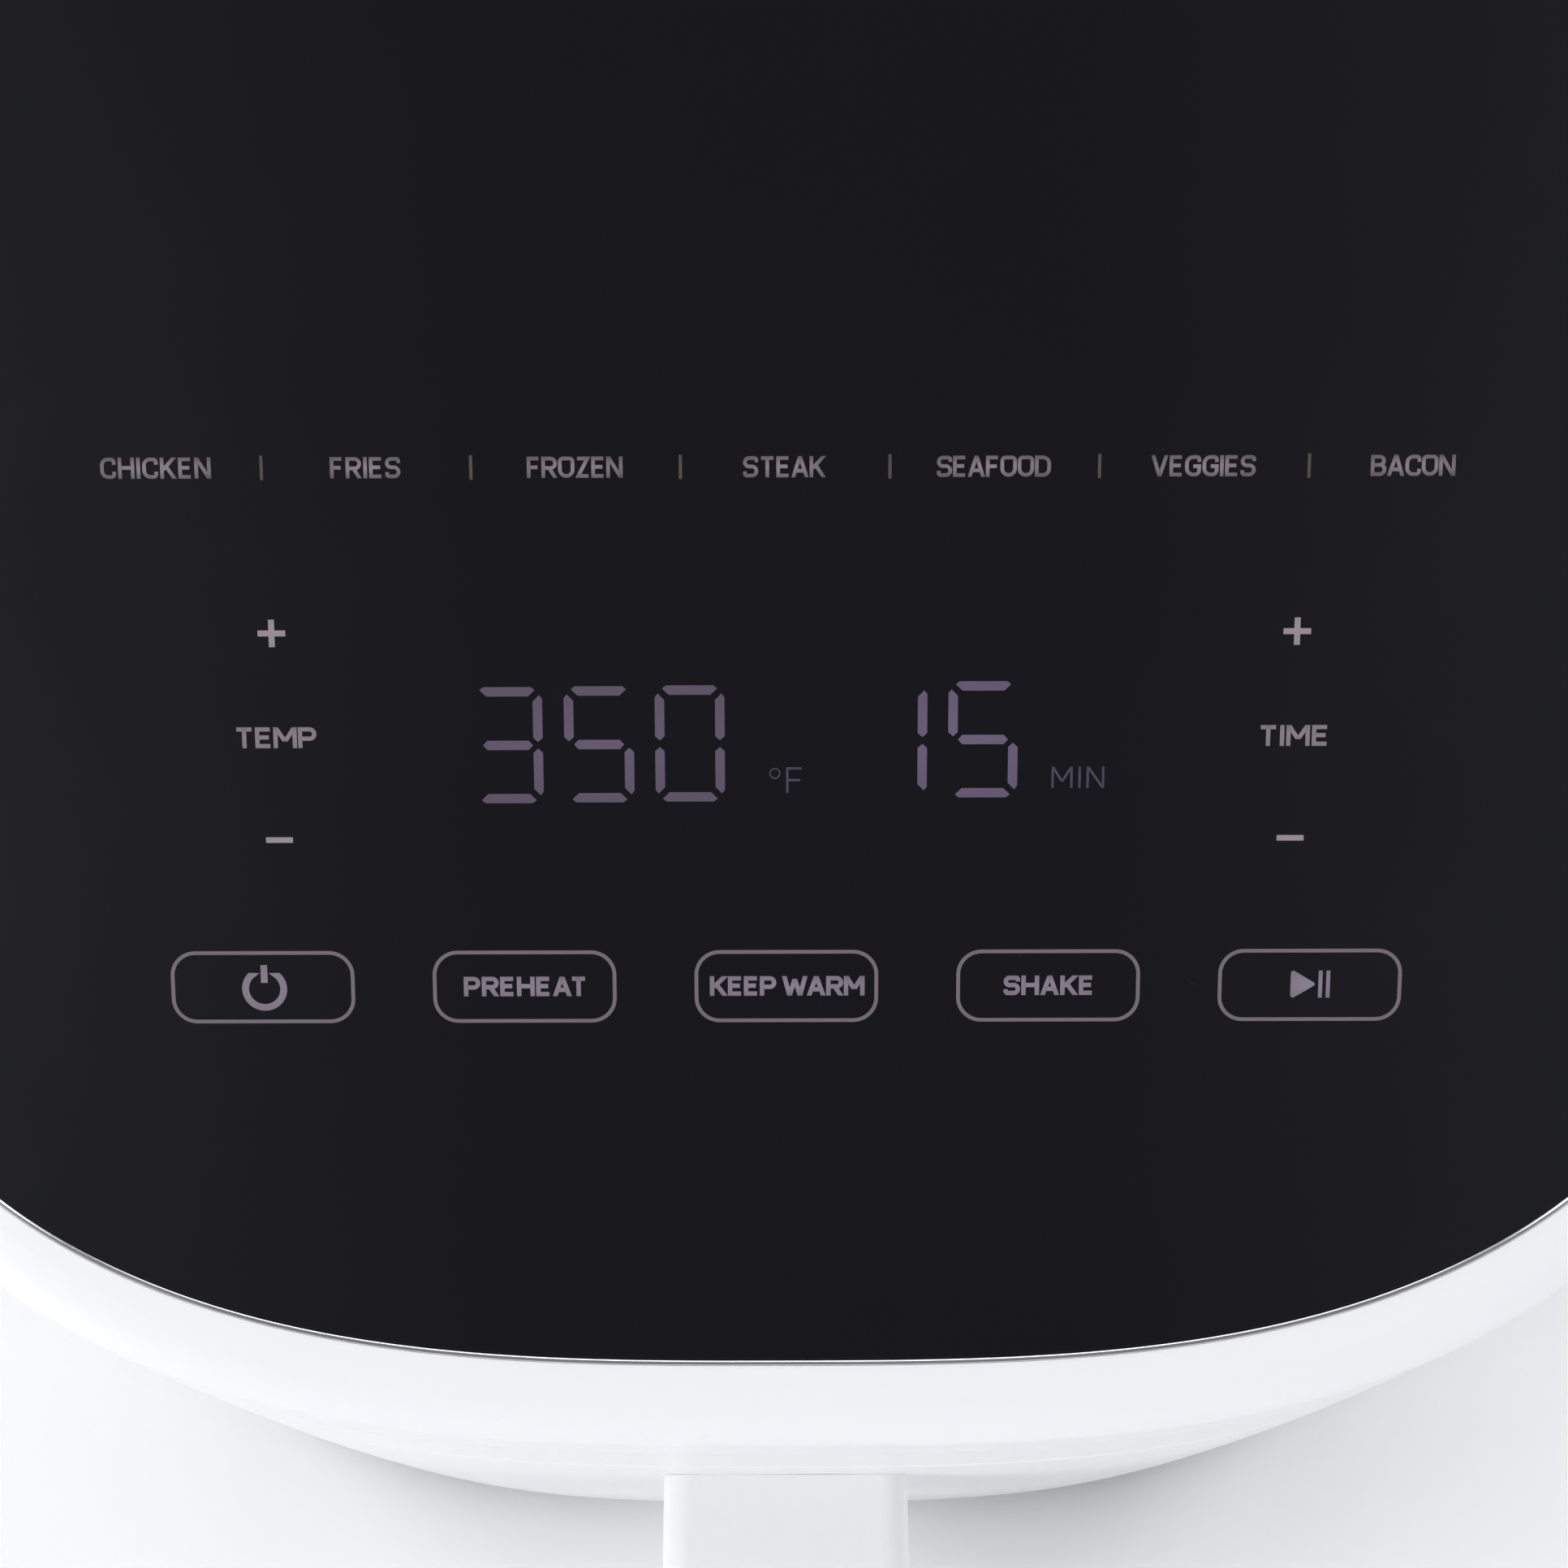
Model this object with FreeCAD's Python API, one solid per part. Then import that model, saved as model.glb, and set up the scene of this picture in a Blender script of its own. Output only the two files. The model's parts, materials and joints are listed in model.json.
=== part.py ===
import FreeCAD, Part
import math
import os

from FreeCAD import Vector

# Air fryer with a pull-out basket drawer and a sloped touch panel. Millimetres, +Z up, front at -Y.
# Everything is drawn about the body's vertical centre line and moved by BODY_Y when it is written,
# so that the origin lies on the floor under the middle of the whole appliance.

# ---- driving dimensions -------------------------------------------------------------------------
BODY_HALF_X = 135.0          # half width of the housing at its widest
BODY_HALF_Y = 125.0          # half depth of the housing at its widest
CORNER_POWER = 3.0           # exponent of the superellipse that rounds every outline
OUTLINE_POINTS = 32          # points that carry a superellipse's spline
BODY_BOTTOM = 6.0            # underside of the housing above the floor
BODY_TOP = 306.0             # flat top behind the panel
DECK_SLOPE = 30.0            # degrees that the panel leans towards the user
DECK_FRONT_Z = 182.0         # height of the sloped deck over the front face
RIDGE_RADIUS = 40.0          # rounding between the sloped deck and the flat top
SHOULDER_RADIUS = 10.0       # rounding between the deck and the sides
FOOT_EDGE_RADIUS = 2.0       # rounding under the housing
WALL = 2.5                   # moulded wall
DECK_THICKNESS = 4.0         # moulded deck that carries the glass
SEAM_DROP = 17.0             # the top cover meets the housing this far below the deck
SEAM_GAP = 0.4               # shadow line between mouldings
BARREL = [(BODY_BOTTOM, 0.962), (110.0, 0.990), (220.0, 1.0), (340.0, 0.996)]

PANEL_HALF_X = 124.0         # touch panel with its metal rim, across
PANEL_HALF_S = 112.0         # the same, along the slope
PANEL_BORDER = 10.5          # deck in front of the panel, along the slope
RIM_WIDTH = 0.8              # metal rim, seen from above
RIM_PROUD = 0.35             # rim above the glass
GLASS_THICKNESS = 2.0

BAY_HALF_X = 99.0            # drawer opening in the housing
BAY_BOTTOM, BAY_TOP = 14.5, 138.5
BAY_CORNER = 12.0
DRAWER_GAP = 0.9             # gap round the drawer front
BAY_EDGE, DRAWER_EDGE = 0.8, 1.0   # softened edges of the opening and of the drawer front

CHAMBER_HALF_X = 98.0        # inside of the cooking chamber
CHAMBER_FRONT, CHAMBER_BACK = -96.0, 88.0
CHAMBER_FLOOR, CHAMBER_EDGE = 12.0, 150.0
CHAMBER_CORNER = 22.0
SHEET = 1.0                  # chamber sheet steel
DOME_RADIUS, DOME_TOP = 86.0, 168.0

TUB_HALF_X = 94.0            # basket at its rim, outside
TUB_FRONT, TUB_BACK = -94.3, 84.0
TUB_BOTTOM, TUB_RIM = 17.0, 132.0
TUB_DRAFT = 4.0              # the basket is this much narrower on each side at its floor
TUB_CORNER = 38.0
TUB_WALL = 1.5
RIM_FLANGE = 2.5

BULKHEAD_FRONT, BULKHEAD_BACK = -98.0, -94.5
CRISPER_BOTTOM, CRISPER_TOP = 30.5, 32.0
CRISPER_INSET = 2.4          # plate edge to basket wall
PERFORATION_RADIUS, PERFORATION_PITCH = 3.6, 14.0

FAN_Y = -4.0                 # vertical fan axis
SHAFT_RADIUS = 3.0
IMPELLER_RADIUS = 56.0
IMPELLER_BLADES = 10
COOLING_RADIUS, COOLING_BLADES = 34.0, 7
ELEMENT_Z, ELEMENT_TUBE = 144.5, 3.25
GUARD_Z, GUARD_WIRE = 137.5, 1.3

HANDLE_FRONT = -169.0        # foremost face of the handle's metal strip
HANDLE_HALF_X = 18.0
HANDLE_LOW, HANDLE_HIGH = 31.0, 121.0
GRIP_THICKNESS = 16.0
GLAND_END = 127.0            # rearmost face of the cord gland
GLAND_Z, CORD_HOLE_RADIUS = 34.0, 3.6
FOOT_X, FOOT_Y, FOOT_RADIUS = 86.0, 76.0, 10.0

BODY_Y = -(HANDLE_FRONT + GLAND_END) / 2.0
SLOPE = math.radians(DECK_SLOPE)
PANEL_Y = -BODY_HALF_Y + (PANEL_BORDER + PANEL_HALF_S) * math.cos(SLOPE)
Z_AXIS, Y_AXIS, X_AXIS = Vector(0, 0, 1), Vector(0, 1, 0), Vector(1, 0, 0)


# ---- shape helpers ------------------------------------------------------------------------------
def superellipse(half_x, half_y, z=0.0):
    """Closed spline |x/a|^p + |y/b|^p = 1 at height z."""
    points = []
    for i in range(OUTLINE_POINTS):
        turn = 2 * math.pi * i / OUTLINE_POINTS
        c, s = math.cos(turn), math.sin(turn)
        r = (abs(c / half_x) ** CORNER_POWER + abs(s / half_y) ** CORNER_POWER) ** (-1 / CORNER_POWER)
        points.append(Vector(r * c, r * s, z))
    curve = Part.BSplineCurve()
    curve.interpolate(points, PeriodicFlag=True)
    return Part.Wire(curve.toShape())


def superellipse_prism(half_x, half_y, z0, z1):
    face = Part.Face(superellipse(half_x, half_y, z0))
    return face.extrude(Vector(0, 0, z1 - z0))


def rounded_rectangle(x0, x1, y0, y1, radius, z=0.0):
    """Wire in a horizontal plane, its corners rounded by arcs."""
    corners = [(x1 - radius, y0 + radius, 270), (x1 - radius, y1 - radius, 0),
               (x0 + radius, y1 - radius, 90), (x0 + radius, y0 + radius, 180)]
    edges = []
    arcs = [Part.Arc(Part.Circle(Vector(cx, cy, z), Z_AXIS, radius),
                     math.radians(start), math.radians(start + 90)) for cx, cy, start in corners]
    for i, arc in enumerate(arcs):
        following = arcs[(i + 1) % 4]
        edges.append(arc.toShape())
        if arc.EndPoint.distanceToPoint(following.StartPoint) > 1e-6:
            edges.append(Part.LineSegment(arc.EndPoint, following.StartPoint).toShape())
    return Part.Wire(Part.__sortEdges__(edges))


def slab(x0, x1, y0, y1, z0, z1, radius=0.0):
    """Upright block, its vertical edges rounded."""
    if radius <= 0:
        return Part.makeBox(x1 - x0, y1 - y0, z1 - z0, Vector(x0, y0, z0))
    face = Part.Face(rounded_rectangle(x0, x1, y0, y1, radius, z0))
    return face.extrude(Vector(0, 0, z1 - z0))


def tunnel(half_x, z0, z1, y0, y1, radius):
    """Block along Y whose four long edges are rounded."""
    block = slab(-half_x, half_x, z0, z1, 0, y1 - y0, radius)
    block.rotate(Vector(0, 0, 0), X_AXIS, 90)
    block.translate(Vector(0, y1, 0))
    return block


def cylinder(radius, x, y, z0, z1):
    return Part.makeCylinder(radius, z1 - z0, Vector(x, y, z0), Z_AXIS)


def cylinder_y(radius, x, z, y0, y1):
    return Part.makeCylinder(radius, y1 - y0, Vector(x, y0, z), Y_AXIS)


def ring(outer, inner, x, y, z0, z1):
    return cylinder(outer, x, y, z0, z1).cut(cylinder(inner, x, y, z0 - 1, z1 + 1))


def polygon_prism_x(points, half_x, radii=None):
    """Prism along X from a (y, z) outline. radii maps a corner's index to its rounding."""
    radii = radii or {}
    count = len(points)
    vectors = [Vector(0, y, z) for y, z in points]
    edges, ends = [], []
    for i, corner in enumerate(vectors):
        before = (vectors[i - 1] - corner).normalize()
        after = (vectors[(i + 1) % count] - corner).normalize()
        radius = radii.get(i, 0.0)
        if radius:
            half = before.getAngle(after) / 2
            reach = radius / math.tan(half)
            bisector = (before + after).normalize()
            middle = corner + bisector * (radius / math.sin(half) - radius)
            start, stop = corner + before * reach, corner + after * reach
            edges.append(Part.Arc(start, middle, stop).toShape())
            ends.append((start, stop))
        else:
            ends.append((corner, corner))
    for i in range(count):
        start, stop = ends[i][1], ends[(i + 1) % count][0]
        if start.distanceToPoint(stop) > 1e-6:
            edges.append(Part.LineSegment(start, stop).toShape())
    face = Part.Face(Part.Wire(Part.__sortEdges__(edges)))
    face.translate(Vector(-half_x, 0, 0))
    return face.extrude(Vector(2 * half_x, 0, 0))


def swept_tube(path, radius):
    """Round tube or rod along a wire of lines and arcs."""
    start = path.Edges[0]
    origin = path.Vertexes[0].Point
    direction = start.tangentAt(start.FirstParameter)
    if start.valueAt(start.FirstParameter).distanceToPoint(origin) > 1e-6:
        direction = start.tangentAt(start.LastParameter)
    profile = Part.Wire(Part.Circle(origin, direction, radius).toShape())
    return path.makePipeShell([profile], True, True)


def rounded_route(points, radius):
    """Open wire through points, with a tangent arc of the given radius at each inner one."""
    vectors = [Vector(*p) for p in points]
    edges, last = [], vectors[0]
    for i in range(1, len(vectors) - 1):
        corner = vectors[i]
        before = (vectors[i - 1] - corner).normalize()
        after = (vectors[i + 1] - corner).normalize()
        half = before.getAngle(after) / 2
        reach = radius / math.tan(half)
        start, stop = corner + before * reach, corner + after * reach
        middle = corner + (before + after).normalize() * (radius / math.sin(half) - radius)
        edges.append(Part.LineSegment(last, start).toShape())
        edges.append(Part.Arc(start, middle, stop).toShape())
        last = stop
    edges.append(Part.LineSegment(last, vectors[-1]).toShape())
    return Part.Wire(edges)


def fuse(shapes):
    result = shapes[0].fuse(shapes[1:]) if len(shapes) > 1 else shapes[0]
    return result.removeSplitter()


def deck_z(y, drop=0.0):
    """Height of the sloped deck's plane, lowered by drop measured square to it."""
    return DECK_FRONT_Z + (y + BODY_HALF_Y) * math.tan(SLOPE) - drop / math.cos(SLOPE)


def on_panel(shape):
    """Carries a shape drawn flat, with its top side at z = 0, onto the sloped deck at the panel's centre."""
    placed = shape.copy()
    placed.rotate(Vector(0, 0, 0), X_AXIS, DECK_SLOPE)
    placed.translate(Vector(0, PANEL_Y, deck_z(PANEL_Y)))
    return placed


# ---- outer form ---------------------------------------------------------------------------------
def above_deck(drop):
    """Everything above the deck and flat top, both lowered by drop."""
    far, high = 260.0, 460.0
    top = BODY_TOP - drop
    ridge_y = -BODY_HALF_Y + (top - DECK_FRONT_Z + drop / math.cos(SLOPE)) / math.tan(SLOPE)
    outline = [(-far, deck_z(-far, drop)), (ridge_y, top), (far, top), (far, high), (-far, high)]
    return polygon_prism_x(outline, far, {1: RIDGE_RADIUS - drop})


def barrel_solid(inset, bottom):
    sections = []
    for z, scale in BARREL:
        z = bottom if z == BODY_BOTTOM else z
        sections.append(superellipse(BODY_HALF_X * scale - inset, BODY_HALF_Y * scale - inset, z))
    return Part.makeLoft(sections, True, False)


def rim_edges(solid, drop):
    """Edges where the deck and flat top, lowered by drop, meet the sides."""
    ridge_slack = 0.04 * RIDGE_RADIUS
    found = []
    for edge in solid.Edges:
        points = edge.discretize(7)
        on_top = all(abs(p.z - min(deck_z(p.y, drop), BODY_TOP - drop)) < ridge_slack for p in points)
        if on_top and edge.Curve.TypeId != "Part::GeomLine":
            found.append(edge)
    return found


def low_edges(solid, level, half_x):
    """Edges at one height whose outline is about half_x wide on each side."""
    return [e for e in solid.Edges
            if e.BoundBox.ZLength < 0.01 and abs(e.BoundBox.ZMin - level) < 0.01
            and abs(e.BoundBox.XMax - half_x) < 0.5]


def mouth_edges(solid):
    """Edges near the drawer opening that lie on the housing's outer surface."""
    slack = 0.01
    found = []
    for edge in solid.Edges:
        points = edge.discretize(5)
        in_bay = all(abs(p.x) < BAY_HALF_X + slack and BAY_BOTTOM - slack < p.z < BAY_TOP + slack
                     and p.y < CHAMBER_FRONT for p in points)
        if in_bay and OUTER.Shells[0].distToShape(Part.Vertex(points[2]))[0] < slack:
            found.append(edge)
    return found


def housing_shell():
    """The whole moulded skin, before it is split into its mouldings."""
    outer = OUTER.cut(above_deck(0.0))
    inner = INNER.cut(above_deck(DECK_THICKNESS))
    shell = outer.cut(inner)
    shell = shell.makeFillet(SHOULDER_RADIUS, rim_edges(shell, 0.0))
    shell = shell.makeFillet(SHOULDER_RADIUS - WALL, rim_edges(shell, DECK_THICKNESS))
    return shell.makeFillet(FOOT_EDGE_RADIUS, low_edges(shell, BODY_BOTTOM, BODY_HALF_X * BARREL[0][1]))


OUTER = barrel_solid(0.0, BODY_BOTTOM)
INNER = barrel_solid(WALL, BODY_BOTTOM - 4.0)
MID_WALL = barrel_solid(WALL / 2, BODY_BOTTOM - 4.0)
SHELL = housing_shell()


# ---- housing ------------------------------------------------------------------------------------
BASE_SCREWS = [(sx * 112.0, sy * 64.0) for sx in (-1, 1) for sy in (-1, 1)]
BOARD_SCREWS = [(sx * 48.0, z) for sx in (-1, 1) for z in (198.0, 256.0)]
BOARD_FRONT, BOARD_BACK = 95.0, 96.6
GRILLE_HALF_X, GRILLE_LOW, GRILLE_HIGH = 50.0, 124.0, 162.0
PILOT_RADIUS, SCREW_RADIUS = 1.5, 1.45


def main_housing():
    """Wrap-round skin with the drawer opening, the rear opening, screw bosses and board posts."""
    skin = SHELL.cut(above_deck(SEAM_DROP))
    groove = OUTER.cut(barrel_solid(1.0, BODY_BOTTOM - 1.0)).common(above_deck(SEAM_DROP + SEAM_GAP))
    skin = skin.cut(groove.cut(above_deck(SEAM_DROP - 1.0)))
    skin = skin.cut(tunnel(BAY_HALF_X, BAY_BOTTOM, BAY_TOP, -200.0, -60.0, BAY_CORNER))
    skin = skin.makeFillet(BAY_EDGE, mouth_edges(skin))
    skin = skin.cut(tunnel(GRILLE_HALF_X, GRILLE_LOW, GRILLE_HIGH, 60.0, 200.0, 8.0))
    bosses = []
    for x, y in BASE_SCREWS:
        side = math.copysign(1, x)
        boss = cylinder(4.5, x, y, 9.4, 34.0)
        rib = slab(min(x, x + side * 16), max(x, x + side * 16), y - 1, y + 1, 9.4, 30.0)
        bosses += [boss, rib.common(MID_WALL)]
    for x, z in BOARD_SCREWS:
        bosses.append(cylinder_y(3.4, x, z, BOARD_BACK, 122.0).common(MID_WALL))
    skin = skin.fuse(bosses)
    for x, y in BASE_SCREWS:
        skin = skin.cut(cylinder(PILOT_RADIUS, x, y, 0.0, 31.0))
    for x, z in BOARD_SCREWS:
        skin = skin.cut(cylinder_y(1.25, x, z, 90.0, 110.0))
    return skin.cut(cylinder_y(8.0, 0.0, GLAND_Z, 60.0, 200.0))


def top_cover():
    """Shoulder and sloped deck, with the rebate and window for the touch glass."""
    cover = SHELL.common(above_deck(SEAM_DROP))
    rebate = superellipse_prism(PANEL_HALF_X + 0.15, PANEL_HALF_S + 0.15, -GLASS_THICKNESS - 0.1, 6.0)
    window = superellipse_prism(PANEL_HALF_X - 6.0, PANEL_HALF_S - 6.0, -14.0, 6.0)
    return cover.cut(on_panel(rebate)).cut(on_panel(window))


def rear_grille():
    """Louvred outlet that continues the housing's rear surface."""
    gap = 0.3
    block = SHELL.common(tunnel(GRILLE_HALF_X - gap, GRILLE_LOW + gap, GRILLE_HIGH - gap, 60.0, 200.0, 7.7))
    slots = []
    for i in range(5):
        slot = slab(-41.0, 41.0, -20.0, 20.0, -1.5, 1.5)
        slot.rotate(Vector(0, 0, 0), X_AXIS, 28)
        slot.translate(Vector(0, 122.0, GRILLE_LOW + 8.0 + 5.5 * i))
        slots.append(slot)
    return block.cut(Part.makeCompound(slots))


def base_plate():
    """Flat underside with vents, screw holes, foot holes and pads for the chamber."""
    scale = BARREL[0][1]
    inset = WALL + 0.8
    plate = superellipse_prism(BODY_HALF_X * scale - inset, BODY_HALF_Y * scale - inset, 6.6, 9.0)
    pads = [slab(x - 9, x + 9, y - 9, y + 9, 9.0, 11.0) for x in (-60.0, 60.0) for y in (-60.0, 52.0)]
    plate = fuse([plate] + pads)
    cuts = [cylinder(2.2, x, y, 0.0, 12.0) for x, y in BASE_SCREWS]
    cuts += [cylinder(4.1, x, y, 0.0, 12.0) for x, y in foot_places()]
    for column in range(9):
        x = (column - 4) * 9.0
        cuts += [slab(x - 1.6, x + 1.6, y - 17, y + 17, 0.0, 12.0, 1.5) for y in (-30.0, 24.0)]
    return plate.cut(Part.makeCompound(cuts))


def foot_places():
    return [(sx * FOOT_X, sy * FOOT_Y) for sx in (-1, 1) for sy in (-1, 1)]


def foot(x, y):
    """Rubber puck with a stem that snaps into the base."""
    puck = cylinder(FOOT_RADIUS, x, y, 0.0, 6.6)
    puck = puck.makeFillet(1.2, [e for e in puck.Edges if e.BoundBox.ZLength < 0.01])
    stem = cylinder(4.0, x, y, 6.0, 10.6)
    return fuse([puck, stem])


def pan_head_screw(x, y, head_low, head_height, tip, head_radius=3.6, shank=SCREW_RADIUS):
    """Upward screw with a cross recess; its head is below."""
    head = cylinder(head_radius, x, y, head_low, head_low + head_height)
    head = head.makeFillet(head_height * 0.45, [e for e in head.Edges if abs(e.BoundBox.ZMax - head_low) < 0.01])
    screw = fuse([head, cylinder(shank, x, y, head_low + head_height, tip)])
    arm, half = head_radius * 0.55, head_radius * 0.13
    for dx, dy in ((arm, half), (half, arm)):
        screw = screw.cut(slab(x - dx, x + dx, y - dy, y + dy, head_low - 1, head_low + head_height * 0.6))
    return screw


def screw_along_y(x, z, head_y, head_height, tip_y, head_radius=3.6, shank=SCREW_RADIUS):
    """Screw along Y whose head is at head_y and whose tip is at tip_y."""
    screw = pan_head_screw(0.0, 0.0, 0.0, head_height, abs(tip_y - head_y), head_radius, shank)
    screw.rotate(Vector(0, 0, 0), X_AXIS, -90 if tip_y > head_y else 90)
    screw.translate(Vector(x, head_y, z))
    return screw


def base_screws():
    return Part.makeCompound([pan_head_screw(x, y, 4.4, 2.2, 29.0) for x, y in BASE_SCREWS])


def cord_gland():
    """Bush that lines the mains cord's hole at the back: outer flange, neck and inner flange."""
    wall_out = BODY_HALF_Y * 0.9705
    neck = cylinder_y(7.7, 0.0, GLAND_Z, wall_out - 12.0, GLAND_END)
    outer = cylinder_y(10.5, 0.0, GLAND_Z, wall_out + 0.2, wall_out + 2.6)
    outer = outer.makeFillet(0.9, [e for e in outer.Edges if abs(e.BoundBox.YMin - wall_out - 2.6) < 0.01])
    inner = cylinder_y(10.0, 0.0, GLAND_Z, wall_out - 8.0, wall_out - 5.0)
    bore = cylinder_y(CORD_HOLE_RADIUS, 0.0, GLAND_Z, 60.0, 200.0)
    bush = fuse([neck, outer.cut(OUTER), inner]).cut(bore)
    rim = [e for e in bush.Edges if abs(e.BoundBox.YMin - GLAND_END) < 0.01 and e.BoundBox.YLength < 0.01
           and e.BoundBox.XLength > 10]
    return bush.makeFillet(1.2, rim)


# ---- touch panel --------------------------------------------------------------------------------
PRESET_PITCH, PRESET_S = 24.27, -1.2      # seven food keys across the panel
KEY_COLUMN_X = 60.1                       # plus and minus columns
PLUS_S, MINUS_S = -20.7, -45.4
BUTTON_PITCH, BUTTON_S = 31.4, -63.5      # five outlined keys
DISPLAY = (-37.0, 40.0, -44.0, -24.0)     # display block: x0, x1, s0, s1
BOARD = (-84.0, 84.0, -76.0, 8.0)
BOARD_TOP, BOARD_LOW = -7.0, -8.6


def touch_glass():
    inset = RIM_WIDTH + 0.05
    glass = superellipse_prism(PANEL_HALF_X - inset, PANEL_HALF_S - inset, -GLASS_THICKNESS, 0.0)
    return on_panel(glass)


def panel_rim():
    """Thin metal bead round the glass."""
    low, high = -GLASS_THICKNESS, RIM_PROUD
    outer = superellipse_prism(PANEL_HALF_X, PANEL_HALF_S, low, high)
    inner = superellipse_prism(PANEL_HALF_X - RIM_WIDTH, PANEL_HALF_S - RIM_WIDTH, low - 1, high + 1)
    bead = outer.cut(inner)
    bead = bead.makeFillet(0.3, [e for e in bead.Edges if abs(e.BoundBox.ZMin - high) < 0.01])
    return on_panel(bead)


def touch_keys():
    """Panel places (x, s) of all the touch keys."""
    keys = [(PRESET_PITCH * k, PRESET_S) for k in range(-3, 4)]
    keys += [(side * KEY_COLUMN_X, s) for side in (-1, 1) for s in (PLUS_S, MINUS_S)]
    return keys + [(BUTTON_PITCH * k, BUTTON_S) for k in range(-2, 3)]


def touch_pads():
    pads = [cylinder(3.6, x, s, BOARD_TOP, -GLASS_THICKNESS) for x, s in touch_keys()]
    return on_panel(Part.makeCompound(pads))


def display_module():
    x0, x1, s0, s1 = DISPLAY
    return on_panel(slab(x0, x1, s0, s1, BOARD_TOP, -GLASS_THICKNESS - 0.05, 1.0))


def control_board():
    x0, x1, s0, s1 = BOARD
    board = slab(x0, x1, s0, s1, BOARD_LOW, BOARD_TOP, 2.0)
    chip = slab(44.0, 54.0, -62.0, -52.0, BOARD_LOW - 1.4, BOARD_LOW)
    socket = slab(-12.0, 12.0, -3.0, 3.0, BOARD_LOW - 2.0, BOARD_LOW)
    return on_panel(fuse([board, chip, socket]))


def panel_carrier():
    """Shallow tray that holds the control board and is bonded under the glass."""
    x0, x1, s0, s1 = BOARD
    tray = slab(x0 - 3, x1 + 3, s0 - 3, s1 + 3, -13.0, -GLASS_THICKNESS, 4.0)
    room = slab(x0 - 0.5, x1 + 0.5, s0 - 0.5, s1 + 0.5, BOARD_LOW, 0.0, 2.5)
    below = slab(x0 + 3, x1 - 3, s0 + 3, s1 - 3, -11.2, 0.0, 1.0)
    lead_out = slab(-14.0, 14.0, -4.0, 4.0, -20.0, 0.0)
    return on_panel(tray.cut(room).cut(below).cut(lead_out))


# ---- cooking chamber ----------------------------------------------------------------------------
SHIELD_HALF_X, SHIELD_BACK = 106.0, 97.0
OUTLET_HALF_X, OUTLET_LOW, OUTLET_HIGH = 36.0, 137.0, 148.0
SWITCH_X, SWITCH_Z = 62.0, 131.4
ELEMENT_OUTER, ELEMENT_INNER, HAIRPIN = 74.0, 58.0, 8.0
TERMINAL_TOP = 182.0


def upright_tray(half_x, front, back, low, high, corner):
    """Block with rounded rear corners and a square front."""
    block = slab(-half_x, half_x, front - 60.0, back, low, high, corner)
    return block.cut(slab(-half_x - 1, half_x + 1, front - 61.0, front, low - 1, high + 1))


def chamber():
    """Sheet steel box, open at the front and top, with an air outlet high in its back wall."""
    outside = upright_tray(CHAMBER_HALF_X + SHEET, CHAMBER_FRONT, CHAMBER_BACK + SHEET,
                           CHAMBER_FLOOR - SHEET, CHAMBER_EDGE, CHAMBER_CORNER + SHEET)
    inside = slab(-CHAMBER_HALF_X, CHAMBER_HALF_X, CHAMBER_FRONT - 40.0, CHAMBER_BACK,
                  CHAMBER_FLOOR, CHAMBER_EDGE + 10.0, CHAMBER_CORNER)
    outlet = slab(-OUTLET_HALF_X, OUTLET_HALF_X, 60.0, 120.0, OUTLET_LOW, OUTLET_HIGH)
    plunger_hole = cylinder_y(2.9, SWITCH_X, SWITCH_Z, 60.0, 120.0)
    return outside.cut(inside).cut(outlet).cut(plunger_hole)


def chamber_top():
    """Lid of the chamber with a round dome over the element and fan."""
    lid = upright_tray(SHIELD_HALF_X + 1.0, CHAMBER_FRONT, SHIELD_BACK + 1.0, CHAMBER_EDGE,
                       CHAMBER_EDGE + SHEET, 26.0)
    dome = cylinder(DOME_RADIUS, 0.0, FAN_Y, CHAMBER_EDGE, DOME_TOP)
    dome = dome.makeFillet(6.0, [e for e in dome.Edges if abs(e.BoundBox.ZMin - DOME_TOP) < 0.01])
    hollow = cylinder(DOME_RADIUS - SHEET, 0.0, FAN_Y, CHAMBER_EDGE - 20.0, DOME_TOP - SHEET)
    hollow = hollow.makeFillet(5.0, [e for e in hollow.Edges if abs(e.BoundBox.ZMin - DOME_TOP + SHEET) < 0.01])
    lid = fuse([lid, dome]).cut(hollow)
    holes = [cylinder(4.5, 0.0, FAN_Y, 150.0, 180.0), cylinder(2.1, SENSOR[0], SENSOR[1], 150.0, 180.0)]
    holes += [cylinder(5.6, x, y, 150.0, 180.0) for x, y in element_ends()]
    holes.append(slab(-47.0, 47.0, CHAMBER_BACK + SHEET + 0.3, 130.0, 140.0, 155.0))
    return lid.cut(Part.makeCompound(holes)).common(barrel_solid(WALL + 1.0, 0.0))


def heat_shield():
    """Sheet wrapped round the sides and back of the chamber."""
    outside = upright_tray(SHIELD_HALF_X, CHAMBER_FRONT + 13.0, SHIELD_BACK, 14.0, CHAMBER_EDGE, 26.0)
    inside = slab(-SHIELD_HALF_X + 0.8, SHIELD_HALF_X - 0.8, CHAMBER_FRONT - 40.0, SHIELD_BACK - 0.8,
                  0.0, CHAMBER_EDGE + 10.0, 25.2)
    window = slab(-OUTLET_HALF_X - 12.0, OUTLET_HALF_X + 42.0, 80.0, 120.0, 112.0, CHAMBER_EDGE + 1.0)
    return outside.cut(inside).cut(window)


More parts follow.
